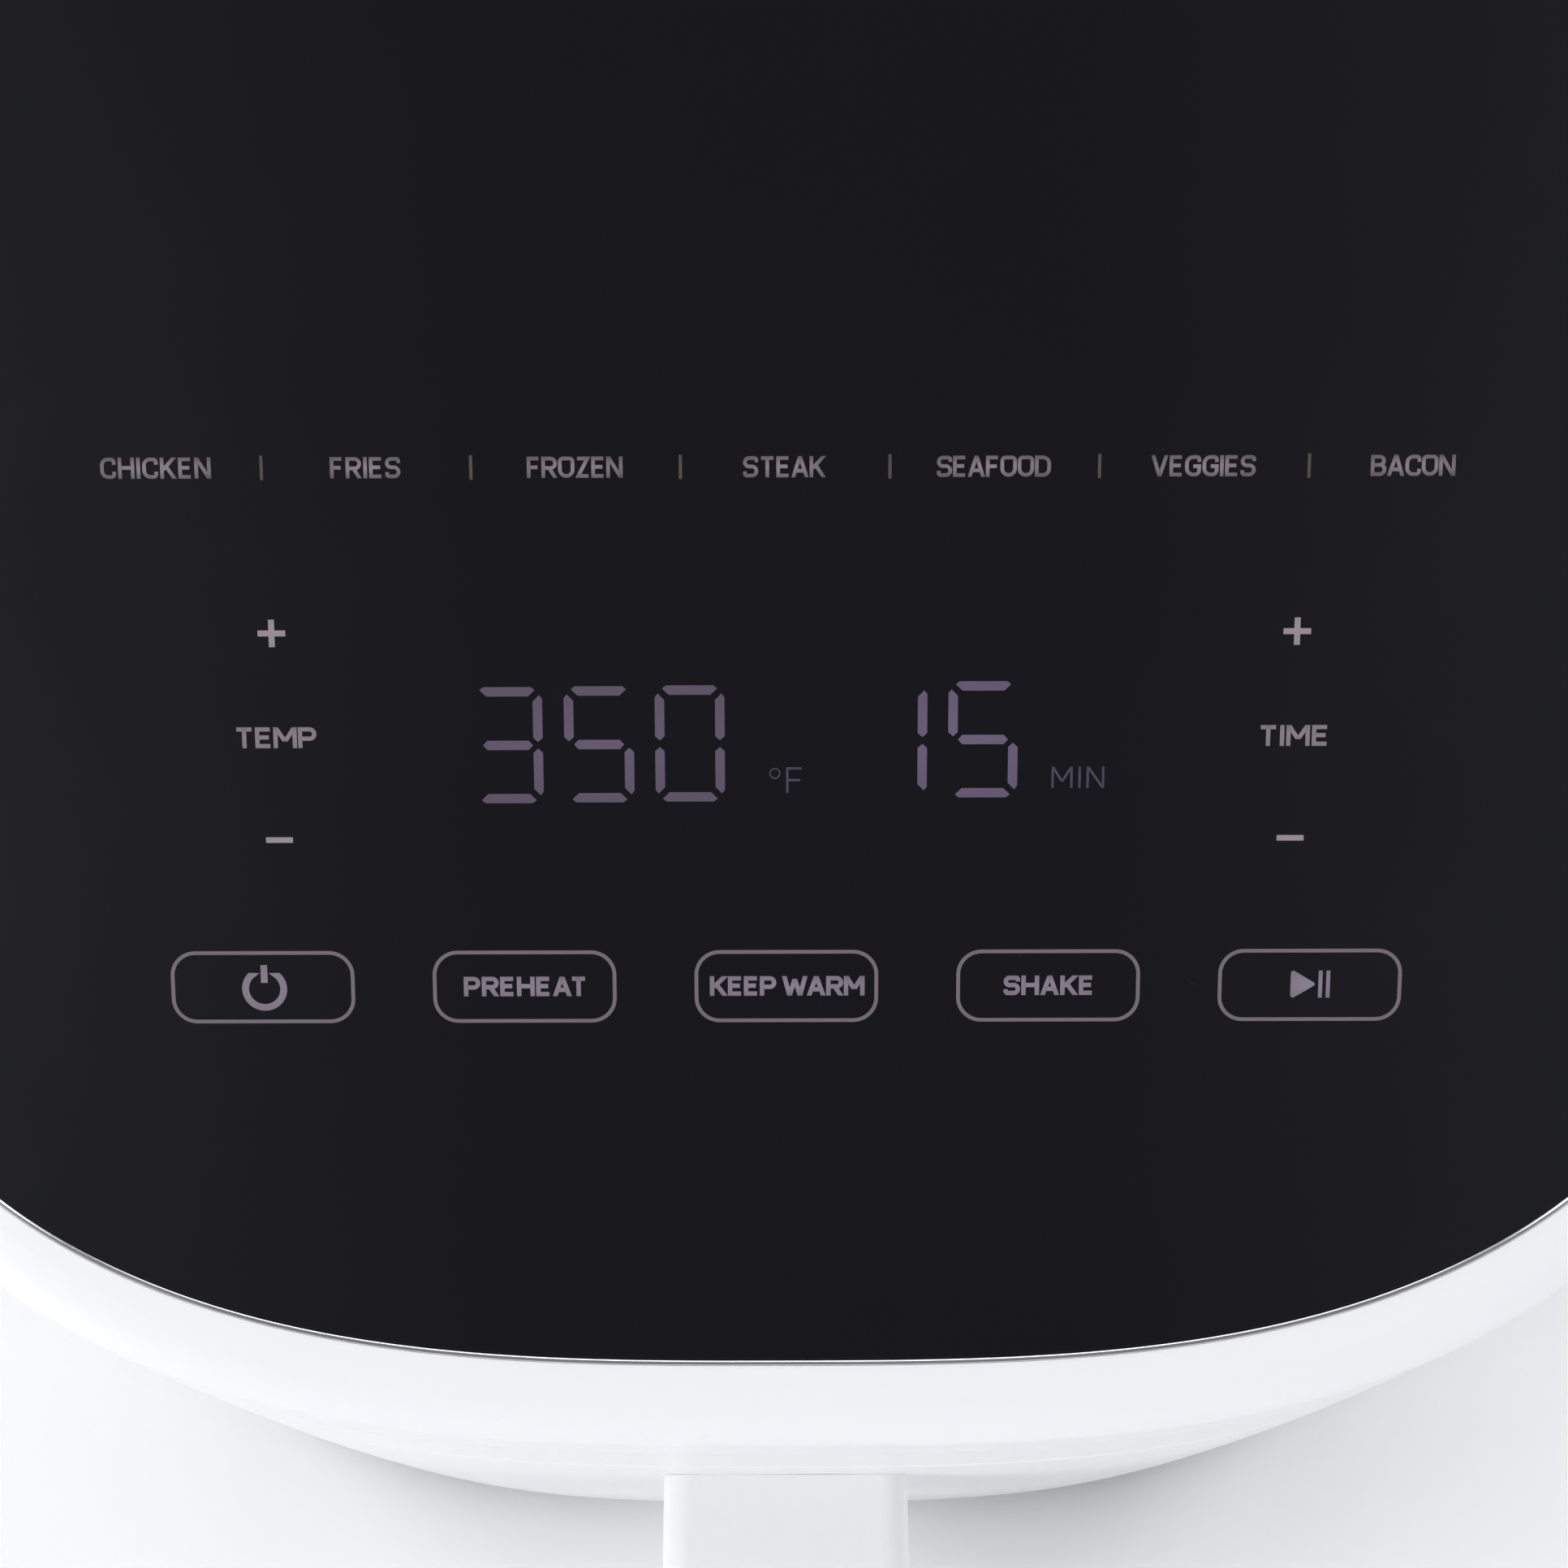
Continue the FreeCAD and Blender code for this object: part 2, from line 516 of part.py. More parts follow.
def exhaust_duct():
    """Flared duct from the chamber's outlet to the rear grille."""
    def section(half_x, low, high, y):
        corners = [Vector(-half_x, y, low), Vector(half_x, y, low), Vector(half_x, y, high),
                   Vector(-half_x, y, high), Vector(-half_x, y, low)]
        return Part.makePolygon(corners)
    front, back = CHAMBER_BACK + SHEET, 119.0
    outside = Part.makeLoft([section(38.5, 134.5, 149.8, front), section(45.5, 127.5, 159.5, back)], True, True)
    inside = Part.makeLoft([section(36.5, 136.5, 148.3, front - 0.01), section(43.5, 129.5, 157.5, back + 0.01)],
                           True, True)
    return outside.cut(inside)


def bay_frame():
    """Moulded tunnel between the housing's opening and the chamber."""
    rim = 4.0
    outside = tunnel(BAY_HALF_X + rim, BAY_BOTTOM - rim, BAY_TOP + rim, -140.0, CHAMBER_FRONT, BAY_CORNER + rim)
    inside = tunnel(BAY_HALF_X - 0.4, BAY_BOTTOM + 0.4, BAY_TOP - 0.4, -160.0, -60.0, BAY_CORNER - 0.4)
    fitted = barrel_solid(WALL + 0.05, BODY_BOTTOM - 4.0)
    return outside.cut(inside).common(fitted)


def drawer_rail(side):
    """Ledge on the chamber wall under the basket's flange."""
    x = sorted((side * 94.9, side * CHAMBER_HALF_X))
    rail = slab(x[0], x[1], CHAMBER_FRONT + 4.0, 60.0, 127.4, 130.4)
    return rail.makeChamfer(1.2, [e for e in rail.Edges if e.BoundBox.YLength < 0.01
                                  and e.BoundBox.ZLength < 0.01])


def polar(radius, degrees, z=0.0):
    angle = math.radians(degrees)
    return Vector(radius * math.cos(angle), FAN_Y + radius * math.sin(angle), z)


START_ANGLE, TURN_ANGLE, END_ANGLE = 122.0, 78.0, 108.0
BEND = 8.0


def element_ends():
    """Where the element's two cold ends rise through the dome."""
    first = polar(ELEMENT_OUTER, START_ANGLE) - tangent(START_ANGLE) * BEND
    radial = polar(1.0, END_ANGLE) - Vector(0, FAN_Y, 0)
    corner = polar(ELEMENT_INNER, END_ANGLE) - tangent(END_ANGLE) * BEND
    second = corner + radial * (ELEMENT_OUTER - ELEMENT_INNER)
    return [(first.x, first.y), (second.x, second.y)]


def tangent(degrees):
    """Unit vector along a circle, anticlockwise."""
    angle = math.radians(degrees)
    return Vector(-math.sin(angle), math.cos(angle), 0)


def arc_between(start, start_direction, stop):
    """Arc that leaves start along a direction and ends at stop."""
    chord = stop - start
    normal = start_direction.cross(chord).normalize()
    inward = normal.cross(start_direction).normalize()
    radius = chord.Length ** 2 / (2 * chord.dot(inward))
    centre = start + inward * radius
    middle = centre + ((start - centre) + (stop - centre)).normalize() * radius
    return Part.Arc(start, middle, stop).toShape()


def circle_arc(radius, degrees_from, degrees_to):
    """Arc about the fan axis at the element's height."""
    middle = (degrees_from + degrees_to) / 2
    return Part.Arc(polar(radius, degrees_from, ELEMENT_Z), polar(radius, middle, ELEMENT_Z),
                    polar(radius, degrees_to, ELEMENT_Z)).toShape()


def heating_element():
    """Tube bent into two rings joined by a hairpin, both ends rising through the dome."""
    up, level = Vector(0, 0, 1), Vector(0, 0, ELEMENT_Z)
    (ax, ay), (bx, by) = element_ends()
    start_low = Vector(ax, ay, ELEMENT_Z + BEND)
    ring_start = polar(ELEMENT_OUTER, START_ANGLE, ELEMENT_Z)
    edges = [Part.LineSegment(Vector(ax, ay, TERMINAL_TOP), start_low).toShape(),
             arc_between(start_low, -up, ring_start)]
    edges.append(circle_arc(ELEMENT_OUTER, START_ANGLE, 360 + TURN_ANGLE))
    outer_end = polar(ELEMENT_OUTER, TURN_ANGLE, ELEMENT_Z)
    inner_end = polar(ELEMENT_INNER, TURN_ANGLE, ELEMENT_Z)
    tip = (outer_end + inner_end) * 0.5 + tangent(TURN_ANGLE) * HAIRPIN
    edges.append(Part.Arc(outer_end, tip, inner_end).toShape())
    edges.append(circle_arc(ELEMENT_INNER, TURN_ANGLE, END_ANGLE - 360))
    ring_end = polar(ELEMENT_INNER, END_ANGLE, ELEMENT_Z)
    radial = (polar(1.0, END_ANGLE) - Vector(0, FAN_Y, 0)).normalize()
    turned = ring_end - tangent(END_ANGLE) * BEND + radial * BEND
    edges.append(arc_between(ring_end, -tangent(END_ANGLE), turned))
    rise = Vector(bx, by, ELEMENT_Z + BEND)
    before_rise = Vector(bx, by, ELEMENT_Z) - radial * BEND
    if before_rise.distanceToPoint(turned) > 1e-6:
        edges.append(Part.LineSegment(turned, before_rise).toShape())
    edges.append(arc_between(before_rise, radial, rise))
    edges.append(Part.LineSegment(rise, Vector(bx, by, TERMINAL_TOP)).toShape())
    return swept_tube(Part.Wire(edges), ELEMENT_TUBE)


def element_bushings():
    return Part.makeCompound([ring(5.5, ELEMENT_TUBE + 0.05, x, y, 163.0, 175.0) for x, y in element_ends()])


def element_guard():
    """Wire guard under the element: rings welded to radial wires, three of which hang from the lid."""
    rod_z = GUARD_Z - 1.8 * GUARD_WIRE
    wires = [Part.makeTorus(r, GUARD_WIRE, Vector(0, FAN_Y, GUARD_Z), Z_AXIS) for r in (26.0, 50.0, 74.0)]
    for i in range(6):
        angle = 60.0 * i - 60.0
        start = polar(8.0, angle, rod_z)
        if i % 2 == 0:
            route = [start, polar(90.0, angle, rod_z), polar(90.0, angle, CHAMBER_EDGE)]
            wires.append(swept_tube(rounded_route([tuple(p) for p in route], 4.0), GUARD_WIRE))
        else:
            wires.append(Part.makeCylinder(GUARD_WIRE, 68.0, start, polar(1.0, angle) - Vector(0, FAN_Y, 0)))
    wires.append(ring(9.5, 6.0, 0.0, FAN_Y, rod_z - 0.8, rod_z + 0.8))
    return wires[0].fuse(wires[1:])


SENSOR = (-50.0, 52.0)


def temperature_sensor():
    """Probe that dips into the chamber, with a hexagonal head on the dome."""
    probe = cylinder(2.0, SENSOR[0], SENSOR[1], 156.0, DOME_TOP + 1.0)
    flange = cylinder(5.0, SENSOR[0], SENSOR[1], DOME_TOP, DOME_TOP + 4.0)
    return fuse([probe, flange])


def thermal_cutout():
    """Round bimetal cut-out seated on the dome."""
    return fuse([cylinder(8.0, 28.0, 58.0, DOME_TOP, DOME_TOP + 7.0),
                 slab(24.0, 32.0, 47.0, 69.0, DOME_TOP, DOME_TOP + 0.8)])


# ---- drawer switch ------------------------------------------------------------------------------
def drawer_switch():
    """Body of the safety switch behind the chamber."""
    y0 = CHAMBER_BACK + SHEET
    block = slab(SWITCH_X - 10.0, SWITCH_X + 10.0, y0, y0 + 14.0, SWITCH_Z - 6.0, SWITCH_Z + 6.0, 1.0)
    return block.cut(cylinder_y(2.3, SWITCH_X, SWITCH_Z, y0 - 1.0, y0 + 10.0))


def switch_plunger():
    """Pin that the basket's flange pushes."""
    front = TUB_BACK + RIM_FLANGE + 0.3
    pin = cylinder_y(2.2, SWITCH_X, SWITCH_Z, front, CHAMBER_BACK + SHEET + 6.0)
    return pin.makeFillet(0.8, [e for e in pin.Edges if e.BoundBox.YLength < 0.01
                                and abs(e.BoundBox.YMin - front) < 0.01])


# ---- motor --------------------------------------------------------------------------------------
MOTOR_PLATE, STATOR_LOW, STATOR_HIGH = 171.0, 180.0, 200.0
STATOR_HALF_X = 30.0


def motor_plate():
    """Plate on four posts over the dome that carries the motor."""
    plate = slab(-50.0, 50.0, FAN_Y - 30.0, FAN_Y + 50.0, MOTOR_PLATE, MOTOR_PLATE + 1.2, 8.0)
    posts = [cylinder(3.0, sx * 42.0, FAN_Y + y, DOME_TOP, MOTOR_PLATE) for sx in (-1, 1) for y in (-22.0, 36.0)]
    return fuse([plate] + posts).cut(cylinder(8.5, 0.0, FAN_Y, 160.0, 180.0))


def bearing_bridge(low, post_low, post_high):
    """Strap across the motor with a raised seat for a bearing, and two posts."""
    strap = slab(-34.0, 34.0, FAN_Y - 8.0, FAN_Y + 8.0, low, low + 2.0, 3.0)
    seat = cylinder(8.0, 0.0, FAN_Y, low, low + 4.0)
    posts = [cylinder(2.8, sx * 26.0, FAN_Y, post_low, post_high) for sx in (-1, 1)]
    return fuse([strap, seat] + posts).cut(cylinder(5.5, 0.0, FAN_Y, low - 1.0, low + 5.0))


def bearing(low):
    return ring(5.5, SHAFT_RADIUS + 0.05, 0.0, FAN_Y, low, low + 4.0)


def motor_stator():
    """Laminated core with the rotor's bore and the coil's window."""
    core = slab(-STATOR_HALF_X, STATOR_HALF_X, FAN_Y - 24.0, FAN_Y + 40.0, STATOR_LOW, STATOR_HIGH, 4.0)
    window = slab(-18.0, 18.0, FAN_Y + 19.0, FAN_Y + 30.0, STATOR_LOW - 1, STATOR_HIGH + 1)
    return core.cut(cylinder(16.0, 0.0, FAN_Y, STATOR_LOW - 1, STATOR_HIGH + 1)).cut(window)


def motor_coil():
    """Winding round the core's rear limb."""
    winding = slab(-16.0, 16.0, FAN_Y + 20.5, FAN_Y + 49.0, STATOR_LOW - 7.0, STATOR_HIGH + 7.0, 4.0)
    return winding.cut(slab(-17.0, 17.0, FAN_Y + 29.8, FAN_Y + 40.2, STATOR_LOW - 0.2, STATOR_HIGH + 0.2))


def motor_rotor():
    return ring(15.4, SHAFT_RADIUS, 0.0, FAN_Y, STATOR_LOW, STATOR_HIGH)


def fan_shaft():
    return cylinder(SHAFT_RADIUS, 0.0, FAN_Y, 150.0, 219.0)


def fan_nut():
    """Domed nut that holds the impeller."""
    points = [polar(5.5, 60.0 * i, 151.6) for i in range(7)]
    nut = Part.Face(Part.makePolygon(points)).extrude(Vector(0, 0, 3.4))
    cap = Part.makeSphere(4.4, Vector(0, FAN_Y, 151.8)).common(slab(-9, 9, FAN_Y - 9, FAN_Y + 9, 140.0, 151.6))
    return fuse([nut, cap]).cut(cylinder(SHAFT_RADIUS, 0.0, FAN_Y, 150.0, 160.0))


def impeller():
    """Stamped centrifugal fan: back disc, hub and curved blades below it."""
    disc = cylinder(IMPELLER_RADIUS, 0.0, FAN_Y, 162.4, 163.4)
    hub = cylinder(8.0, 0.0, FAN_Y, 155.0, 162.4)
    blades = []
    for i in range(IMPELLER_BLADES):
        turn = 360.0 / IMPELLER_BLADES * i
        centre = polar(30.0, turn)
        sweep = ring(32.0, 31.0, centre.x, centre.y, 153.6, 162.4)
        keep = slab(0.0, 60.0, -60.0, 60.0, 150.0, 165.0)
        keep.rotate(Vector(0, 0, 0), Z_AXIS, turn + 90.0)
        keep.translate(Vector(centre.x, centre.y, 0))
        blade = sweep.common(keep).common(ring(IMPELLER_RADIUS - 0.6, 13.0, 0.0, FAN_Y, 150.0, 165.0))
        blades.append(blade)
    wheel = fuse([disc, hub] + blades)
    return wheel.cut(cylinder(SHAFT_RADIUS, 0.0, FAN_Y, 140.0, 180.0))


def cooling_fan():
    """Moulded axial fan above the motor."""
    low, high = 207.5, 216.0
    hub = cylinder(8.0, 0.0, FAN_Y, low, high)
    blades = []
    for i in range(COOLING_BLADES):
        blade = slab(6.0, COOLING_RADIUS, -9.0, 9.0, -0.6, 0.6, 0.0)
        blade = blade.makeFillet(5.0, [e for e in blade.Edges if e.BoundBox.ZLength > 1.0
                                       and e.BoundBox.XMin > COOLING_RADIUS - 0.1])
        blade.rotate(Vector(0, 0, 0), X_AXIS, 24)
        blade.rotate(Vector(0, 0, 0), Z_AXIS, 360.0 / COOLING_BLADES * i)
        blade.translate(Vector(0, FAN_Y, (low + high) / 2))
        blades.append(blade)
    fan = fuse([hub] + blades)
    return fan.cut(cylinder(SHAFT_RADIUS, 0.0, FAN_Y, 200.0, 220.0))


# ---- power electronics --------------------------------------------------------------------------
def power_board():
    board = slab(-56.0, 56.0, BOARD_FRONT, BOARD_BACK, 190.0, 264.0)
    holes = [cylinder_y(1.6, x, z, 90.0, 100.0) for x, z in BOARD_SCREWS]
    return board.cut(Part.makeCompound(holes))


def power_components():
    """Relay, mains capacitor, transformer, two electrolytics and the lead sockets."""
    face = BOARD_FRONT
    return Part.makeCompound([
        slab(-40.0, -21.0, face - 15.0, face, 206.0, 222.0, 0.8),
        slab(-12.0, 12.0, face - 18.0, face, 222.0, 246.0, 1.0),
        slab(20.0, 40.0, face - 12.0, face, 232.0, 246.0, 0.8),
        cylinder_y(5.0, 26.0, 214.0, face - 16.0, face),
        cylinder_y(5.0, 39.0, 214.0, face - 16.0, face),
        slab(-42.0, -18.0, face - 8.0, face, 236.0, 248.0, 0.5),
        slab(-9.0, 13.0, face - 8.0, face, 196.0, 206.0, 0.5),
    ])


def power_board_screws():
    return Part.makeCompound([screw_along_y(x, z, BOARD_FRONT - 2.0, 2.0, 108.0, 2.8, 1.2)
                              for x, z in BOARD_SCREWS])


def mains_lead():
    """Sheathed lead from the gland up to the power board's lower socket."""
    back = BODY_HALF_Y * 0.9705 - 12.0
    route = [(0.0, back - 0.2, GLAND_Z), (0.0, back - 8.0, GLAND_Z), (20.0, back - 6.0, 70.0),
             (58.0, 107.0, 118.0), (58.0, 107.0, 172.0), (2.0, 86.0, 178.0), (2.0, 88.0, 195.9)]
    return swept_tube(rounded_route(route, 4.0), 2.6)


def element_lead(index):
    """High-temperature wire from one end of the element to the power board's upper socket."""
    x, y = element_ends()[index]
    end_x = (-38.0, -24.0)[index]
    route = [(x, y, TERMINAL_TOP + 0.1), (x, y, TERMINAL_TOP + 12.0), (end_x, y + 6.0, 226.0 + 10 * index),
             (end_x, 80.0, 242.0), (end_x, BOARD_FRONT - 8.1, 242.0)]
    return swept_tube(rounded_route(route, 4.0), 1.4)


# ---- drawer -------------------------------------------------------------------------------------
HANDLE_SCREWS_Z = (40.0, 112.5)
TUB_SCREWS = [(-32.0, 98.0), (32.0, 98.0)]
HANDLE_SCREW_TIP = -146.0


def drawer_front():
    """Curved front moulding: a shallow tray whose face continues the housing."""
    gap, wall = DRAWER_GAP, WALL
    outline = tunnel(BAY_HALF_X - gap, BAY_BOTTOM + gap, BAY_TOP - gap, -140.0, BULKHEAD_FRONT,
                     BAY_CORNER - gap)
    hollow = tunnel(BAY_HALF_X - gap - wall, BAY_BOTTOM + gap + wall, BAY_TOP - gap - wall, -160.0, -60.0,
                    BAY_CORNER - gap - wall)
    block = outline.common(OUTER)
    tray = block.makeFillet(DRAWER_EDGE, mouth_edges(block)).cut(hollow.common(INNER))
    holes = [cylinder_y(2.3, 0.0, z, -140.0, -100.0) for z in HANDLE_SCREWS_Z]
    return tray.cut(Part.makeCompound(holes))


def drawer_bulkhead():
    """Back of the drawer front, which carries the basket."""
    plate = tunnel(BAY_HALF_X - DRAWER_GAP - 1.0, BAY_BOTTOM + DRAWER_GAP + 1.5, TUB_RIM - SHEET - 0.6,
                   BULKHEAD_FRONT, BULKHEAD_BACK, 11.0)
    posts = []
    for z in HANDLE_SCREWS_Z:
        post = cylinder_y(7.0, 0.0, z, -130.0, BULKHEAD_FRONT).common(barrel_solid(WALL + 0.1, 0.0))
        posts.append(post.cut(cylinder_y(4.4, 0.0, z, -130.0, BULKHEAD_FRONT - 3.0)))
    for x, z in TUB_SCREWS:
        posts.append(cylinder_y(5.0, x, z, BULKHEAD_BACK, tub_front_inside(z + 5.0) - TUB_WALL - 0.1))
    lip = slab(-84.0, 84.0, BULKHEAD_FRONT, BULKHEAD_FRONT + 0.9, TUB_RIM - 5.0, BAY_TOP - DRAWER_GAP - 1.0)
    plate = fuse([plate, lip] + posts)
    return plate.cut(Part.makeCompound([cylinder_y(2.1, x, z, -110.0, -90.0) for x, z in TUB_SCREWS]))


def tub_outline(inset, z):
    """Rounded rectangle of the basket at height z, inset from its outside."""
    share = (TUB_RIM - z) / (TUB_RIM - TUB_BOTTOM)
    pull = inset + TUB_DRAFT * share
    return rounded_rectangle(-TUB_HALF_X + pull, TUB_HALF_X - pull, TUB_FRONT + pull, TUB_BACK - pull,
                             TUB_CORNER - inset - TUB_DRAFT * 0.5 * share, z)


def basket_tub():
    """Deep coated basket with a rounded floor and an outward flange at its rim."""
    outside = Part.makeLoft([tub_outline(0.0, TUB_BOTTOM), tub_outline(0.0, TUB_RIM)], True, True)
    inside = Part.makeLoft([tub_outline(TUB_WALL, TUB_BOTTOM + TUB_WALL), tub_outline(TUB_WALL, TUB_RIM)],
                           True, True)
    outside = outside.makeFillet(9.0, [e for e in outside.Edges if abs(e.BoundBox.ZMax - TUB_BOTTOM) < 0.01])
    floor_level = TUB_BOTTOM + TUB_WALL
    inside = inside.makeFillet(7.5, [e for e in inside.Edges if abs(e.BoundBox.ZMax - floor_level) < 0.01])
    low = TUB_RIM - SHEET
    flange = slab(-TUB_HALF_X - RIM_FLANGE, TUB_HALF_X + RIM_FLANGE, TUB_FRONT - RIM_FLANGE,
                  TUB_BACK + RIM_FLANGE, low, TUB_RIM, TUB_CORNER + RIM_FLANGE)
    tub = fuse([outside, flange]).cut(inside)
    holes = [cylinder_y(2.1, x, z, -110.0, -80.0) for x, z in TUB_SCREWS]
    return tub.cut(Part.makeCompound(holes))


def tub_front_inside(z):
    """Y of the basket's inner front wall at height z."""
    return TUB_FRONT + TUB_WALL + TUB_DRAFT * (TUB_RIM - z) / (TUB_RIM - TUB_BOTTOM)


def tub_screws():
    return Part.makeCompound([screw_along_y(x, z, tub_front_inside(z - 6.0) + 2.2, 2.2, -104.0, 4.2, 1.9)
                              for x, z in TUB_SCREWS])


def tub_nuts():
    return Part.makeCompound([cylinder_y(4.0, x, z, -101.2, BULKHEAD_FRONT).cut(
        cylinder_y(1.9, x, z, -110.0, -90.0)) for x, z in TUB_SCREWS])


def handle_loop():
    """The whole handle: a rounded loop that meets the drawer front's curved face."""
    front = HANDLE_FRONT + 0.4
    outside = polygon_prism_x([(-105.0, HANDLE_HIGH), (front, HANDLE_HIGH), (front, HANDLE_LOW + 6.0),
                               (-105.0, HANDLE_LOW)], HANDLE_HALF_X, {1: 15.0, 2: 13.0})
    inner_y = front + GRIP_THICKNESS
    gap = polygon_prism_x([(-100.0, HANDLE_HIGH - 17.0), (inner_y, HANDLE_HIGH - 17.0),
                           (inner_y, HANDLE_LOW + 21.0), (-100.0, HANDLE_LOW + 21.0)],
                          HANDLE_HALF_X + 5.0, {1: 8.0, 2: 8.0})
    loop = outside.cut(gap)
    sides = [e for e in loop.Edges if e.BoundBox.XLength < 0.01 and e.BoundBox.YMax < -106.0
             or (e.BoundBox.XLength < 0.01 and e.BoundBox.YLength > 20.0)]
    loop = loop.makeFillet(4.0, sides)
    return loop.cut(barrel_solid(-0.02, 0.0))


HANDLE_SPLIT_Y = HANDLE_FRONT + 7.0
STRIP_LOW, STRIP_HIGH, STRIP_HALF_X, STRIP_DEPTH = 50.0, 104.0, 5.0, 1.2


def handle_strip():
    """Metal inlay on the front of the handle."""
    return tunnel(STRIP_HALF_X, STRIP_LOW, STRIP_HIGH, HANDLE_FRONT, HANDLE_FRONT + STRIP_DEPTH + 0.3,
                  STRIP_HALF_X - 0.05)


def handle_cover(loop):
    cut = slab(-30, 30, HANDLE_SPLIT_Y, -50.0, 0.0, 200.0)
    seat = tunnel(STRIP_HALF_X + 0.12, STRIP_LOW - 0.12, STRIP_HIGH + 0.12, HANDLE_FRONT - 5.0,
                  HANDLE_FRONT + STRIP_DEPTH + 0.3, STRIP_HALF_X + 0.05)
    return loop.cut(cut).cut(seat)


def handle_body(loop):
    body = loop.cut(slab(-30, 30, -200.0, HANDLE_SPLIT_Y + 0.25, 0.0, 200.0))
    holes = [cylinder_y(1.95, 0.0, z, HANDLE_SCREW_TIP - 1.0, -100.0) for z in HANDLE_SCREWS_Z]
    return body.cut(Part.makeCompound(holes))


def handle_screws():
    """Two screws from behind the drawer front into the handle's roots."""
    screws = []
    for z in HANDLE_SCREWS_Z:
        wall = -(BODY_HALF_Y * barrel_scale(z) - WALL)
        screws.append(screw_along_y(0.0, z, wall + 2.7, 2.5, HANDLE_SCREW_TIP, 3.9, 1.9))
    return Part.makeCompound(screws)


def barrel_scale(z):
    """Housing's size at height z, read from its sections by straight lines."""
    for (z0, s0), (z1, s1) in zip(BARREL, BARREL[1:]):
        if z <= z1:
            return s0 + (s1 - s0) * (z - z0) / (z1 - z0)
    return BARREL[-1][1]


def crisper_outline(inset):
    """Outline of the crisper plate, following the basket at its resting height."""
    pull = TUB_WALL + CRISPER_INSET + TUB_DRAFT * (TUB_RIM - CRISPER_BOTTOM) / (TUB_RIM - TUB_BOTTOM)
    pull += inset
    return (-TUB_HALF_X + pull, TUB_HALF_X - pull, TUB_FRONT + pull, TUB_BACK - pull, TUB_CORNER - pull)


BUMPER_HALF, BUMPER_BOTTOM = 9.0, 21.2


def bumper_places():
    """Middle of each bumper on the plate's four straight sides: (x, y, outward x, outward y)."""
    x0, x1, y0, y1, _ = crisper_outline(0.0)
    across, middle = 34.0, (y0 + y1) / 2
    return [(x0, middle - across, -1, 0), (x0, middle + across, -1, 0), (x1, middle - across, 1, 0),
            (x1, middle + across, 1, 0), (-across, y0, 0, -1), (across, y0, 0, -1),
            (-across, y1, 0, 1), (across, y1, 0, 1)]


def bumper_block(place, half, inside, outside, z0, z1, radius):
    x, y, ox, oy = place
    if ox:
        xs = sorted((x - ox * inside, x + ox * outside))
        return slab(xs[0], xs[1], y - half, y + half, z0, z1, radius)
    ys = sorted((y - oy * inside, y + oy * outside))
    return slab(x - half, x + half, ys[0], ys[1], z0, z1, radius)


def crisper_plate():
    """Perforated plate with a turned-down edge and a central lifting slot."""
    plate = Part.Face(rounded_rectangle(*crisper_outline(0.0), CRISPER_BOTTOM)).extrude(
        Vector(0, 0, CRISPER_TOP - CRISPER_BOTTOM))
    skirt = Part.Face(rounded_rectangle(*crisper_outline(0.0), CRISPER_BOTTOM - 5.0)).extrude(Vector(0, 0, 5.0))
    skirt = skirt.cut(Part.Face(rounded_rectangle(*crisper_outline(1.2), CRISPER_BOTTOM - 6.0)).extrude(
        Vector(0, 0, 6.0)))
    plate = plate.makeFillet(1.0, [e for e in plate.Edges if abs(e.BoundBox.ZMin - CRISPER_TOP) < 0.01])
    plate = fuse([plate, skirt])
    x0, x1, y0, y1, _ = crisper_outline(0.0)
    middle = (y0 + y1) / 2
    cuts = [slab(-17.0, 17.0, middle - 6.0, middle + 6.0, 20.0, 40.0, 5.9)]
    count = 5
    for i in range(-count, count + 1):
        for j in range(-count, count + 1):
            x, y = i * PERFORATION_PITCH, middle + j * PERFORATION_PITCH
            near_corner = abs(i) + abs(j) > 2 * count - 2
            near_slot = abs(i) <= 1 and j == 0
            if not near_corner and not near_slot and y0 + 12 < y < y1 - 12:
                cuts.append(cylinder(PERFORATION_RADIUS, x, y, 20.0, 40.0))
    cuts += [bumper_block(p, BUMPER_HALF - 2.0, 4.0, 1.0, 20.0, 40.0, 0.0) for p in bumper_places()]
    return plate.cut(Part.makeCompound(cuts))


def crisper_bumpers():
    """Silicone clips on the plate's edge that also stand on the basket's floor."""
    bumpers = []
    for place in bumper_places():
        core = bumper_block(place, BUMPER_HALF - 2.0, 4.0, 0.0, BUMPER_BOTTOM, CRISPER_TOP + 1.0, 0.0)
        outer = bumper_block(place, BUMPER_HALF, -0.05, 1.3, 27.0, CRISPER_TOP + 1.0, 0.6)
        cap = bumper_block(place, BUMPER_HALF, 6.0, 1.3, CRISPER_TOP, CRISPER_TOP + 1.6, 0.6)
        bumpers.append(fuse([core, outer, cap]))
    return Part.makeCompound(bumpers)


# ---- writing ------------------------------------------------------------------------------------
def write(name, shape):
    placed = shape.copy()
    placed.translate(Vector(0, BODY_Y, 0))
    placed.exportStep(os.path.join("parts", name + ".step"))
    print(name, "solids", len(placed.Solids), "valid", placed.isValid(), "volume", round(placed.Volume))


